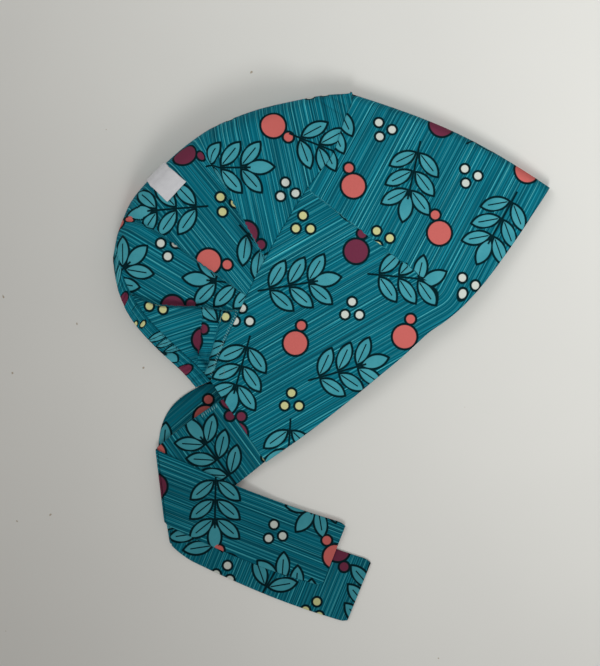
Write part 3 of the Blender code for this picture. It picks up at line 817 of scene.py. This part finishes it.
def build_panel():
    near_u, near_turn = panel_columns(NEAR_COLUMNS)
    far_u, far_turn = panel_columns(FAR_COLUMNS)
    shares = np.concatenate([near_u[::-1], far_u[1:]])
    turns = np.concatenate([near_turn[::-1], far_turn[1:]])
    near = np.concatenate([np.ones(len(near_u)), np.zeros(len(far_u) - 1)])
    u, v = np.meshgrid(shares, np.linspace(0.0, 1.0, PANEL_ROWS + 1), indexing="ij")
    turn, is_near = turns[:, None] + 0.0 * v, near[:, None] + 0.0 * v
    plan = panel_plan(u, v)
    near_top = panel_top(u, v) - fold_depth(plan) * turn
    near_top += soft_waves(plan, PANEL_WAVE) * ease(v * 6.0) * ease((1.0 - v) * 8.0)
    near_top -= BRIM_TURN * np.exp(-v * 60.0)
    points = raised(plan, mix(fold_height(v), near_top * is_near, turn))
    flat = rolled_out(opened(plan, is_near), points, turn)
    return cloth_sheet("front_panel_cloth", points, panel_cut(flat), (30, 40, 1))


front_panel = build_panel()

# %% [markdown]
# ## Crown halves
#
# Two halves meet in the centre-back seam, which is the far outline of the folded cap. Each is
# gathered into the front panel's crown seam. The near one lies in flat pleats, and the cloth
# of each pleat hangs over the next. On the real cap this shows most in the print, because
# the streaks of every sector run their own way and the shapes break off along the folds.
#
# The height of the folds alone would leave the print unbroken. So the print is cut by the same
# lines. SECTORS turns it at each line and takes out the cloth that the fold hides. The turn is
# soft near the back seam and sharp at the gathers. The far half rests on the table, and only
# its outline and its inside can be seen.

# %% Flat cloth of the crown
# Folds part the crown into sectors, each inside the one before. Every row has the fold's line,
# the turn of the cloth across it in degrees, the width over which it turns at the line's
# start, and how much cloth is hidden in the fold, in millimetres.
SECTORS = [
    ([(135.7, 174.5), (158.5, 88.6)], 27.0, 18.0, 0.0),
    (SECOND_CREASE, 20.0, 12.0, 5.0),
    (OVERHANG, 49.0, 0.4, 17.0),
    (FIRST_PLEAT, -20.0, 0.4, 12.0),
    (SECOND_PLEAT, 37.0, 0.4, 12.0)]
FIRST_SLANT = -122.0


def crown_cut(plan, side):
    """Place on the flat cloth. The streaks of each sector run straight from the gathers."""
    slant, held, inside = FIRST_SLANT, np.zeros(2), 1.0
    cut = turned(plan, slant)
    for line, angle, width, hidden in SECTORS:
        along, away, across = line_place(plan, line)
        soft = mix(width, 0.3, ease(along / 0.5)) / 1000.0
        inside = np.minimum(inside, ease(0.5 + away * across / soft))
        pivot, run = np.array(line[0]) / 1000.0, np.array(line[-1]) - np.array(line[0])
        tucked = np.array((-run[1], run[0])) / np.linalg.norm(run) * hidden / 1000.0
        held = turned(pivot, slant) + held - turned(pivot - tucked, slant + angle)
        slant += angle
        cut = mix(cut, turned(plan, slant) + held, inside[..., None])
    return pair(cut[..., 0], cut[..., 1] * side) + 0.7


print("cloth hidden in the pleats:", [row[3] for row in SECTORS], "mm")

# %% Crown
CROWN_COLUMNS, CROWN_ROWS, ROUND_STEPS = 250, 100, 26
CROWN_WAVE = 0.0005       # slow unevenness of the cloth
SEAM_DIP = 0.0009         # the stitches pull the cloth down along the crown seam
GATHERS = 34.0            # small gathers in the length of the crown seam
GATHER_HEIGHT = 0.00045


def crown_surface(side, u, fold, v, turn):
    """Plan points and outer face of one crown half. turn is 0 at the centre-back seam."""
    plan = crown_plan(u, v)
    tip = fold_height(np.ones_like(u))
    goal = mix(mix(tip, 0.0, fold), 0.0, ease(v * 2.0))
    if side > 0:
        depth = fold_depth(plan)
        top = crown_top(u, v) - depth * mix(fold, 1.0, v)
        first = mix(tip, panel_top(u, np.ones_like(u)) - depth * fold, fold)
        goal = mix(first, top, ease(v * 4.0))
        goal -= SEAM_DIP * np.exp(-v * 22.0) * fold
        near_ends = ease((0.10 - u) / 0.10) + ease((u - 0.80) / 0.15) + 0.25
        gather = np.sin(2.0 * np.pi * GATHERS * u + 1.3 * np.sin(u * 41.0))
        goal += GATHER_HEIGHT * gather * near_ends * np.exp(-v * 9.0) * ease(v * 30.0) * fold
        goal += soft_waves(plan, CROWN_WAVE) * ease(v * 5.0)
    return plan, raised(plan, mix(edge_height(u), goal, turn))


def build_crown(name, side):
    angles = quarter(ROUND_STEPS)[::-1]
    v_line = np.concatenate([np.linspace(0.0, 1.0 - ROUND_SHARE, CROWN_ROWS + 1)[:-1],
                             1.0 - ROUND_SHARE * (1.0 - np.cos(angles))])
    turn_line = np.concatenate([np.ones(CROWN_ROWS), np.sin(angles)])
    u_line, fold_line = panel_columns(CROWN_COLUMNS)
    u, v = np.meshgrid(u_line, v_line, indexing="ij")
    turn = turn_line[None, :] + 0.0 * u
    fold = fold_line[:, None] + 0.0 * v
    plan, points = crown_surface(side, u, fold, v, turn)
    flat = rolled_out(plan.swapaxes(0, 1), points.swapaxes(0, 1), turn.T).swapaxes(0, 1)
    return cloth_sheet(name, points, crown_cut(flat, side), (100, 30, side))


crown_near = build_crown("crown_near_cloth", 1)
crown_far = build_crown("crown_far_cloth", -1)

# %% [markdown]
# ## Nape casing
#
# The hem over the nape is a narrow tunnel for elastic, one strip round both sides. Elastic
# draws it up, so the strip puffs out between its two seams and ruches across. The puff is half
# a sine over its width. The ruche is three sines of uneven pitch along it, which never repeat
# in step. Half as much print again is packed into its length.

# %% Nape casing
CASING_STEPS, CASING_ROWS = 150, 12
RUCHE_RUN = 118.0         # run of the ruches on one side, in millimetres
PUFF = 0.0009             # height of the tunnel between its two seams
RUCHE = 0.00062           # height of the ruches
FULLNESS = 1.5            # length of print that is packed into each length of casing


def casing_surface(across, v, turn, is_near):
    """Points of the outer face of the casing. turn is 0 at the centre-back seam."""
    plan = casing_plan(across, v)
    one = np.ones_like(v)
    seam = mix(panel_top(one, one), crown_top(one, v), ease(v * 4.0))
    seam = seam - fold_depth(crown_plan(one, v))
    goal = seam * mix(1.0, 0.85, across) * is_near
    run = v * RUCHE_RUN
    ruche = (np.sin(run * 1.55 + 0.8 * np.sin(run * 0.37)) + 0.5 * np.sin(run * 2.9 + 1.0)
             + 0.4 * np.sin(run * 0.9 + across * 2.0))
    bulge = np.sin(np.pi * across)
    goal = goal + (PUFF * bulge + RUCHE * ruche * (0.35 + 0.65 * bulge)) * is_near
    return raised(plan, mix(edge_height(one) * mix(1.0, 0.8, across), goal, turn))


def build_casing():
    angles = quarter(12)
    line = np.linspace(0.0, 1.0 - ROUND_SHARE, CASING_STEPS + 1)
    v_half = np.concatenate([line[:-1], 1.0 - ROUND_SHARE * (1.0 - np.cos(angles[::-1]))])
    turn_half = np.concatenate([np.ones(CASING_STEPS), np.sin(angles[::-1])])
    v_line = np.concatenate([v_half, v_half[-2::-1]])
    turn_line = np.concatenate([turn_half, turn_half[-2::-1]])
    near = np.concatenate([np.ones(len(v_half)), np.zeros(len(v_half) - 1)])
    v, across = np.meshgrid(v_line, np.linspace(0.0, 1.0, CASING_ROWS + 1), indexing="ij")
    turn, is_near = turn_line[:, None] + 0.0 * v, near[:, None] + 0.0 * v
    points = casing_surface(across, v, turn, is_near)
    run = np.linalg.norm(np.diff(points[:, CASING_ROWS // 2], axis=0), axis=-1)
    run = FULLNESS * np.concatenate([[0.0], np.cumsum(run)])
    cut = pair(run[:, None] + 0.0 * across, across * CASING_WIDTH) + 0.2
    return cloth_sheet("nape_casing_cloth", points, cut, (20, 5, 1))


nape_casing = build_casing()

# %% [markdown]
# ## Ties
#
# A tie is a strip turned right side out and pressed flat, two layers with a closed end. Each
# is sewn to its end of the brim, goes back and is folded over once where it lies. The near tie
# comes down from the seam onto the far one and drapes over its edges.
#
# The cross-section is one flat loop, and the loop is carried along three runs: to the fold,
# half way round it and on to the cut end. tie_run makes the rows of a straight run, and
# tie_turn rolls the loop over at the fold, where its lower face becomes the upper one.
#
# The place on the print is measured from the fold's outer corner along each run's own heading,
# which keeps round berries round. The two faces were cut from different strips, so the streaks
# run along one and across the other. The ties' colour is darkened as painted shade.

# %% Tie shapes
TIE_WIDTH = 0.0415
LAY_GAP = 0.0003          # air between two layers that lie on each other
SEAM_GAP = 0.00015        # air between the panel's edge and the tie's
LAYER = CLOTH + LAY_GAP
# A corner is the outer one of the fold, from the end of the brim. "round" is the share of the
# width that is rounded off there.
NEAR = {"seam": (0.012, 0.78), "corner": (0.072, 0.016), "past": 0.1048,
        "headings": (8.6, -114.4), "bows": (-0.003, 0.001), "round": 0.02}
FAR = {"seam": (0.34, 0.997), "corner": (0.0812, 0.0010), "past": 0.1178,
       "headings": (4.0, -113.87), "bows": (0.0, 0.0130), "round": 0.10}
FOLD_REACH = 0.016        # how far from the fold its corner starts to round off
END_ROUND = 0.035         # share of the width that is rounded off at the cut end
END_REACH = 0.0045
TIE_BOW = 0.0025          # how far the edges of the second run bow out
TIE_DRAPE = 0.012         # over this way a tie comes down from the layer under it


def heading(degrees):
    return np.array((math.cos(math.radians(degrees)), math.sin(math.radians(degrees))))


def tie_stations(tie):
    """Outer and inner edge points of a tie at its seam, its fold and its cut end."""
    lead = (BRIM_END - SEAM_END) / np.linalg.norm(BRIM_END - SEAM_END)
    clear = np.array((-lead[1], lead[0])) * SEAM_GAP
    start = [tie_seam(share) + clear for share in tie["seam"]]
    corner = BRIM_END + np.array(tie["corner"])
    before, after = tie["headings"]
    fold_length = TIE_WIDTH / math.sin(math.radians(before - after) / 2.0)
    crease = heading((before + after) / 2.0) * fold_length
    end = corner + heading(after) * tie["past"]
    return start, [corner, corner - crease], [end, end - heading(after + 90.0) * TIE_WIDTH]


def edge_line(start, end, across, share, bows):
    """A plan point at a share along a run and a share across it, with its two edges bowed."""
    outer = mix(start[0], end[0], share)
    inner = mix(start[1], end[1], share)
    side = np.array((0.0, 1.0))
    if bows[0] == bows[1]:
        side = (end[0] - end[1]) / np.linalg.norm(end[0] - end[1])
    swell = np.sin(np.pi * share) + 0.2 * np.sin(np.pi * share ** 2)
    return mix(outer, inner, across) + side * swell * mix(bows[0], bows[1], across)


def below(plan, stations):
    """Distance of plan points past the outer edge of the first run."""
    start, run = stations[0][0], stations[1][0] - stations[0][0]
    away = plan - start
    return (run[1] * away[..., 0] - run[0] * away[..., 1]) / np.linalg.norm(run)


NEAR_STATIONS, FAR_STATIONS = tie_stations(NEAR), tie_stations(FAR)


def near_first(plan):
    share = (plan[..., 0] - SEAM_END[0]) / (NEAR["corner"][0] * 0.6)
    along = np.clip(plan[..., 1] / SEAM_END[1], 0.0, 1.0)
    start = panel_top(np.ones_like(along), along) - fold_depth(tie_seam(along)) - CLOTH
    return mix(start, 2.0 * LAYER, ease(share))


def near_second(plan):
    past = below(plan, NEAR_STATIONS) + NEAR["bows"][0] - SEAM_GAP
    return mix(3.0 * LAYER, LAYER, ease(past / (TIE_DRAPE * 2.1)))


def far_first(plan):
    return np.zeros(plan.shape[:-1])


def far_second(plan):
    return mix(LAYER, 0.0, ease((below(plan, FAR_STATIONS) - SEAM_GAP) / TIE_DRAPE))


print("outer corners of the folds:", NEAR_STATIONS[1][0].round(4), FAR_STATIONS[1][0].round(4))

# %% Runs of a tie
TIE_COLUMNS = 31
FIRST_ROWS, TURN_ROWS, SECOND_ROWS = 40, 13, 100


def tie_profile():
    """Shares across a tie, close together at its edges, and half the thickness at each."""
    across = 0.5 - 0.5 * np.cos(np.linspace(0.0, np.pi, TIE_COLUMNS))
    full = np.sqrt(np.clip(1.0 - np.abs(2.0 * across - 1.0) ** 24, 0.0, 1.0))
    return across, CLOTH / 2.0 * full


def tie_cut(tie, corner, plan, second, rolled):
    """Place on the flat tie, along it and across it from the fold's outer corner. rolled is
    the length that already went round the fold."""
    before, after = tie["headings"]
    lead, side = (after, after - 90.0) if second else (before, before + 90.0)
    return pair((plan - corner) @ heading(lead) + rolled, (plan - corner) @ heading(side))


def rounded(across, first, last):
    """Shares across a tie, drawn in by a share of the width at its outer and inner edge."""
    return first + (1.0 - first - last) * across


def closing(way, reach):
    """1 at the end of a run and 0 from a certain way before it, with a round change."""
    return max(0.0, 1.0 - way / reach) ** 2


def tie_run(start, end, shares, bows, drawn_in, height):
    """Rows of a straight run: plan points, lower face and upper face. drawn_in gives the
    rounding of its outer and inner edge at a share."""
    across, half = tie_profile()
    plans, lower, upper = [], [], []
    for share in shares:
        line = rounded(across, *drawn_in(share))
        plan = np.array([edge_line(start, end, a, share, bows) for a in line])
        middle = height(plan) + CLOTH / 2.0
        plans.append(plan)
        lower.append(raised(plan, middle - half))
        upper.append(raised(plan, middle + half))
    return np.array(plans), np.array(lower), np.array(upper)


def tie_turn(tie, fold, height):
    """Rows half way round the fold: plan points, outer face and inner face."""
    across, half = tie_profile()
    crease = fold[1] - fold[0]
    beyond = np.array((crease[1], -crease[0])) / np.linalg.norm(crease)
    if beyond @ (fold[0] - BRIM_END) < 0.0:
        beyond = -beyond
    plan = np.array([mix(fold[0], fold[1], a) for a in rounded(across, tie["round"], 0.0)])
    middle = LAY_GAP / 2.0 + CLOTH / 2.0
    faces = [], []
    for angle in np.linspace(-np.pi / 2.0, np.pi / 2.0, TURN_ROWS):
        for rows, radius in zip(faces, (middle + half, middle - half)):
            moved = plan + beyond * (math.cos(angle) * radius - CLOTH)[:, None]
            rise = CLOTH + LAY_GAP / 2.0 + math.sin(angle) * radius
            rows.append(raised(moved, height(plan) + rise))
    return np.array([plan] * TURN_ROWS), np.array(faces[0]), np.array(faces[1])


# %% Tie builder
def build_tie(name, tie, stations, heights, shift, crosswise_top):
    """A flat tie of two layers, folded once. heights are those of its two runs. The streaks
    run along one of its faces and across the other."""
    start, fold, end = stations
    to_fold = np.linalg.norm(fold[0] - start[0])
    to_end = np.linalg.norm(end[0] - fold[0])

    def first_edges(share):
        return tie["round"] * closing((1.0 - share) * to_fold, FOLD_REACH), 0.0

    def second_edges(share):
        corner = tie["round"] * closing(share * to_end, FOLD_REACH)
        tip = END_ROUND * closing((1.0 - share) * to_end, END_REACH)
        return corner + tip, tip

    first = tie_run(start, fold, np.linspace(0.0, 1.0, FIRST_ROWS + 1)[:-1], tie["bows"],
                    first_edges, heights[0])
    turn = tie_turn(tie, fold, heights[0])
    second = tie_run(fold, end, np.linspace(0.0, 1.0, SECOND_ROWS + 1)[1:], (TIE_BOW, TIE_BOW),
                     second_edges, heights[1])
    skin = np.concatenate([first[1], turn[1], second[2]])
    lining = np.concatenate([first[2], turn[2], second[1]])
    rolled = np.linspace(0.0, np.pi, TURN_ROWS)[:, None] * (LAY_GAP / 2.0 + CLOTH)
    flat = np.concatenate([tie_cut(tie, fold[0], first[0], False, 0.0),
                           tie_cut(tie, fold[0], turn[0], False, rolled),
                           tie_cut(tie, fold[0], second[0], True, rolled[-1])])
    loop = np.concatenate([skin, lining[:, -2::-1]], axis=1)
    flat = np.concatenate([flat, flat[:, -2::-1]], axis=1)
    lengthwise = flat + np.array(shift)
    crosswise = flat[..., ::-1] + np.array(shift) + 0.13
    is_top = (np.arange(loop.shape[1]) < TIE_COLUMNS)[None, :, None]
    cut = np.where(is_top != crosswise_top, lengthwise, crosswise)
    return cloth_sheet(name, loop, cut, (20, 15, -1), 0.0, (cotton_ties_painted_shade,))


tie_near = build_tie("tie_near_cloth", NEAR, NEAR_STATIONS, (near_first, near_second),
                     (0.3, 0.4), False)
tie_far = build_tie("tie_far_cloth", FAR, FAR_STATIONS, (far_first, far_second), (0.9, 0.1), True)

# %% [markdown]
# ## Label
#
# A small white ribbon is caught in the centre-back seam and lies over the near crown. It is
# blank. A grid on the crown's own surface, lifted by a ribbon's thickness, follows the round
# edge of the crown without any fitting by hand. Ribbed weave and a soft satin gloss tell it
# from the matte cotton, and its free corners lift a little.

# %% Label
LABEL_WIDTH = 0.0155      # along the centre-back seam
LABEL_DROP = 0.0204       # as seen from above, from the seam to its free edge
LABEL_AT = 0.74           # where it is caught, as a share of the centre-back seam
LABEL_LIFT = 0.0011       # the ribbon's outer face over the cotton
LABEL_CURL = 0.0007       # how much further its free corners lift
LABEL_ROWS, LABEL_COLUMNS = 37, 29
RIBBON_THICKNESS = 0.0006
RIBBON = (200, 202, 208), (221, 223, 228)
RIB_SHADE = (164, 165, 171)


def ribbon_finish():
    finish = Finish("white_ribbon", roughness=0.5)
    place = finish.node("ShaderNodeUVMap", {"uv_map": "cut"}, {})
    x = finish.node("ShaderNodeSeparateXYZ", {}, {0: place}, 0) * 1000.0
    y = finish.node("ShaderNodeSeparateXYZ", {}, {0: place}, 1) * 1000.0
    ribs = finish.maths("SINE", y * (2.0 * math.pi / 0.7))
    warp = finish.maths("SINE", x * (2.0 * math.pi / 0.35))
    cloud = finish.node("ShaderNodeTexNoise", {}, {"Vector": place, "Scale": 260.0, "Detail": 3.0})
    white = finish.blend(cloud, dye(*RIBBON[0]), dye(*RIBBON[1]))
    shade = finish.maths("MULTIPLY_ADD", ribs, 0.08, 0.08)
    bump = finish.node("ShaderNodeBump", {}, {"Strength": 0.35, "Distance": 0.0002,
                                              "Height": ribs * 0.6 + warp * 0.4})
    finish.use(Base_Color=finish.blend(shade, white, dye(*RIB_SHADE)), Normal=bump)
    finish.shader.inputs["Specular IOR Level"].default_value = 0.35
    return finish.material


def crown_spot(u, v):
    return crown_plan(np.array([u]), np.array([v]))[0]


def build_label():
    step = 0.01
    along = (crown_spot(LABEL_AT + step, 1.0) - crown_spot(LABEL_AT - step, 1.0)) / (2.0 * step)
    inwards = (crown_spot(LABEL_AT, 1.0 - ROUND_SHARE) - crown_spot(LABEL_AT, 1.0)) / ROUND_SHARE
    slant = -(inwards @ along) / (along @ along)
    depth = LABEL_DROP / np.linalg.norm(inwards + along * slant)
    half = LABEL_WIDTH / np.linalg.norm(along) / 2.0
    share, across = np.meshgrid(np.linspace(0.03, 1.0, LABEL_ROWS),
                                np.linspace(-1.0, 1.0, LABEL_COLUMNS), indexing="ij")
    inset = share * depth
    turn = np.sqrt(1.0 - (1.0 - np.minimum(1.0, inset / ROUND_SHARE)) ** 2)
    _, points = crown_surface(1, LABEL_AT + half * across + slant * inset, np.ones_like(share),
                              1.0 - inset, turn)
    out = np.cross(np.gradient(points, axis=0), np.gradient(points, axis=1))
    out /= np.linalg.norm(out, axis=-1, keepdims=True)
    out *= np.sign(out[LABEL_ROWS // 2, LABEL_COLUMNS // 2, 2])
    curl = LABEL_CURL * ease((share - 0.75) / 0.25) * (0.4 + 0.6 * across ** 4)
    points = points + out * (LABEL_LIFT + curl)[..., None]
    cut = pair(across * LABEL_WIDTH / 2.0, share * LABEL_DROP)
    ribbon = ribbon_finish()
    return cloth_sheet("label_ribbon", points, cut, (18, 14, 1), RIBBON_THICKNESS, (ribbon, ribbon))


label = build_label()

# %% [markdown]
# ## Thread
#
# Pale thread shows in a few places: cross stitches over the gathered end of the crown seam,
# a running stitch that holds the elastic's casing, whip stitches on the near tie's upper edge
# and one loose end. Each dash is a sphere of 24 faces drawn out into a grain of rice, cheap
# enough to be repeated, and its ends sink into the cloth as a real stitch does.

# %% Thread
def thread_finish(name, light, dark):
    finish = Finish(name, roughness=0.6)
    place = finish.node("ShaderNodeTexCoord", {}, {}, 3)
    twist = finish.node("ShaderNodeTexNoise", {}, {"Vector": place, "Scale": 2200.0, "Detail": 1.0})
    bump = finish.node("ShaderNodeBump", {}, {"Strength": 0.4, "Distance": 0.0001, "Height": twist})
    finish.use(Base_Color=finish.blend(twist, dye(*dark), dye(*light)), Normal=bump)
    return finish.material


def sew(name, dashes, width, material):
    """One mesh of stitches. Each dash is given by its two ends on the cloth."""
    mesh = bmesh.new()
    for start, end in dashes:
        start, end = Vector(start), Vector(end)
        run = end - start
        turn = run.to_track_quat("X", "Z").to_matrix().to_4x4()
        size = Matrix.Diagonal((run.length / 2.0, width / 2.0, width / 2.0, 1.0))
        place = Matrix.Translation((start + end) / 2.0) @ turn @ size
        bmesh.ops.create_uvsphere(mesh, u_segments=6, v_segments=4, radius=1.0, matrix=place)
    item = mesh_object(name, mesh, (material,))
    print(f"{name}: {len(dashes)} dashes, {len(item.data.polygons)} faces")
    return item


def on_crown(u, v):
    """A point on the near crown half."""
    one = np.ones(1)
    return crown_surface(1, u * one, one, v * one, one)[1][0]


def on_casing(across, v):
    """A point on the near side of the nape casing."""
    one = np.ones(1)
    return casing_surface(across * one, v * one, one, one)[0]


def on_tie(share, across):
    """A point on the near tie's first run, on top."""
    plan = edge_line(NEAR_STATIONS[0], NEAR_STATIONS[1], across, share, NEAR["bows"])
    return raised(plan, near_first(plan) + CLOTH)


pale = thread_finish("pale_thread", (150, 196, 198), (92, 150, 156))
teal = thread_finish("teal_thread", (20, 112, 126), (6, 78, 92))
seam_dashes = [(on_crown(u, 0.004), on_crown(u, 0.024)) for u in np.linspace(0.775, 0.985, 29)]
casing_dashes = [(on_casing(0.10, v), on_casing(0.10, v + 0.017))
                 for v in np.arange(0.02, 0.76, 0.026)]
whip_dashes = [(on_tie(share, 0.995), on_tie(share + 0.012, 0.945))
               for share in np.linspace(0.1, 0.3, 8)]
seam_stitches = sew("crown_seam_stitches", seam_dashes, 0.00045, pale)
casing_stitches = sew("casing_stitches", casing_dashes, 0.0005, teal)
tie_stitches = sew("tie_edge_stitches", whip_dashes, 0.0004, pale)

# %% Loose thread end
LOOSE_END = [   # back and up in millimetres
    (229.0, 58.6), (227.6, 57.2), (226.0, 56.9), (224.4, 57.6), (223.3, 58.9), (222.9, 60.4)]


def on_panel(back, up):
    """A point on the near panel from plan millimetres, by nearness on a fine grid."""
    u, v = np.meshgrid(np.linspace(0.7, 1.0, 181), np.linspace(0.0, 1.0, 181), indexing="ij")
    plan = panel_plan(u, v)
    away = np.linalg.norm(plan - np.array((back, up)) / 1000.0, axis=-1)
    found = np.unravel_index(np.argmin(away), away.shape)
    height = panel_top(u, v)[found] - fold_depth(plan)[found]
    return raised(np.array((back, up)) / 1000.0, height + 0.0002)


thread_points = [on_panel(*point) for point in LOOSE_END]
loose_thread = sew("loose_thread", list(zip(thread_points[:-1], thread_points[1:])), 0.0004, pale)

# %% [markdown]
# ## Table top
#
# The cap lies on a pale painted table with a few dark specks. A plane far larger than the
# picture has no edge in view from any side. A slow noise makes the paint a little uneven, and
# a fine noise that is cut off low leaves the few specks.

# %% Table
TABLE_HALF = 12.0         # metres
TABLE_GAP = 0.0002        # just clear of the cloth
PAINT = (208, 209, 207), (221, 222, 219)
SPECK = (170, 160, 145)


def build_table():
    mesh = bmesh.new()
    bmesh.ops.create_grid(mesh, x_segments=1, y_segments=1, size=TABLE_HALF)
    finish = Finish("painted_table", roughness=0.6)
    place = finish.node("ShaderNodeTexCoord", {}, {}, 3)
    cloud = finish.node("ShaderNodeTexNoise", {}, {"Vector": place, "Scale": 4.0, "Detail": 3.0})
    speck = finish.node("ShaderNodeTexNoise", {}, {"Vector": place, "Scale": 160.0, "Detail": 1.0})
    colour = finish.blend(cloud, dye(*PAINT[0]), dye(*PAINT[1]))
    colour = finish.blend(finish.inside(speck, 0.19, 0.02), colour, dye(*SPECK))
    finish.use(Base_Color=colour)
    item = mesh_object("table_top", mesh, (finish.material,))
    item.location.z = -TABLE_GAP
    item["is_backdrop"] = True
    print("table top:", 2.0 * TABLE_HALF, "m wide")


build_table()

# %% [markdown]
# ## Joining the frame
#
# The cap is cloth with no joints, so every piece rides on the one body. Each sheet hides the
# solid that it replaces, and its row lists the size that it was cut to. Gathered pieces
# were cut larger than they look, because part of the cloth lies hidden in their folds.

# %% Ride and finish
CLOTH_PIECES = [   # piece, node, flat width and length, flat area, how it is held, what it lies on
    (front_panel, "front_panel", (0.50, 0.155), 0.0490, "folded", ["table_top"]),
    (crown_near, "crown_near", (0.23, 0.135), 0.0172, "gathered", ["crown_far"]),
    (crown_far, "crown_far", (0.22, 0.125), 0.0148, "gathered", ["table_top"]),
    (nape_casing, "nape_casing", (0.0125, 0.22), 0.0026, "gathered", ["crown_far"]),
    (tie_far, "tie_far", (0.085, 0.205), 0.0172, "folded", ["table_top"]),
    (tie_near, "tie_near", (0.085, 0.190), 0.0158, "folded", ["tie_far"]),
    (label, "label", (0.0160, 0.0312), 0.00048, "laid", ["crown_near"])]
for piece, node, flat, area, held, under in CLOTH_PIECES:
    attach(piece, "root")
    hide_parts(node)
THREADS = [(seam_stitches, "crown_near"), (casing_stitches, "nape_casing"),
           (tie_stitches, "tie_near"), (loose_thread, "crown_near")]
for piece, slot in THREADS:
    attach(piece, "root")
size = {"cad": cad_box, "visual": [list(corner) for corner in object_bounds()]}
for name, corners in size.items():
    print(name, "box in mm:", [round((high - low) * 1000.0, 1) for low, high in zip(*corners)])
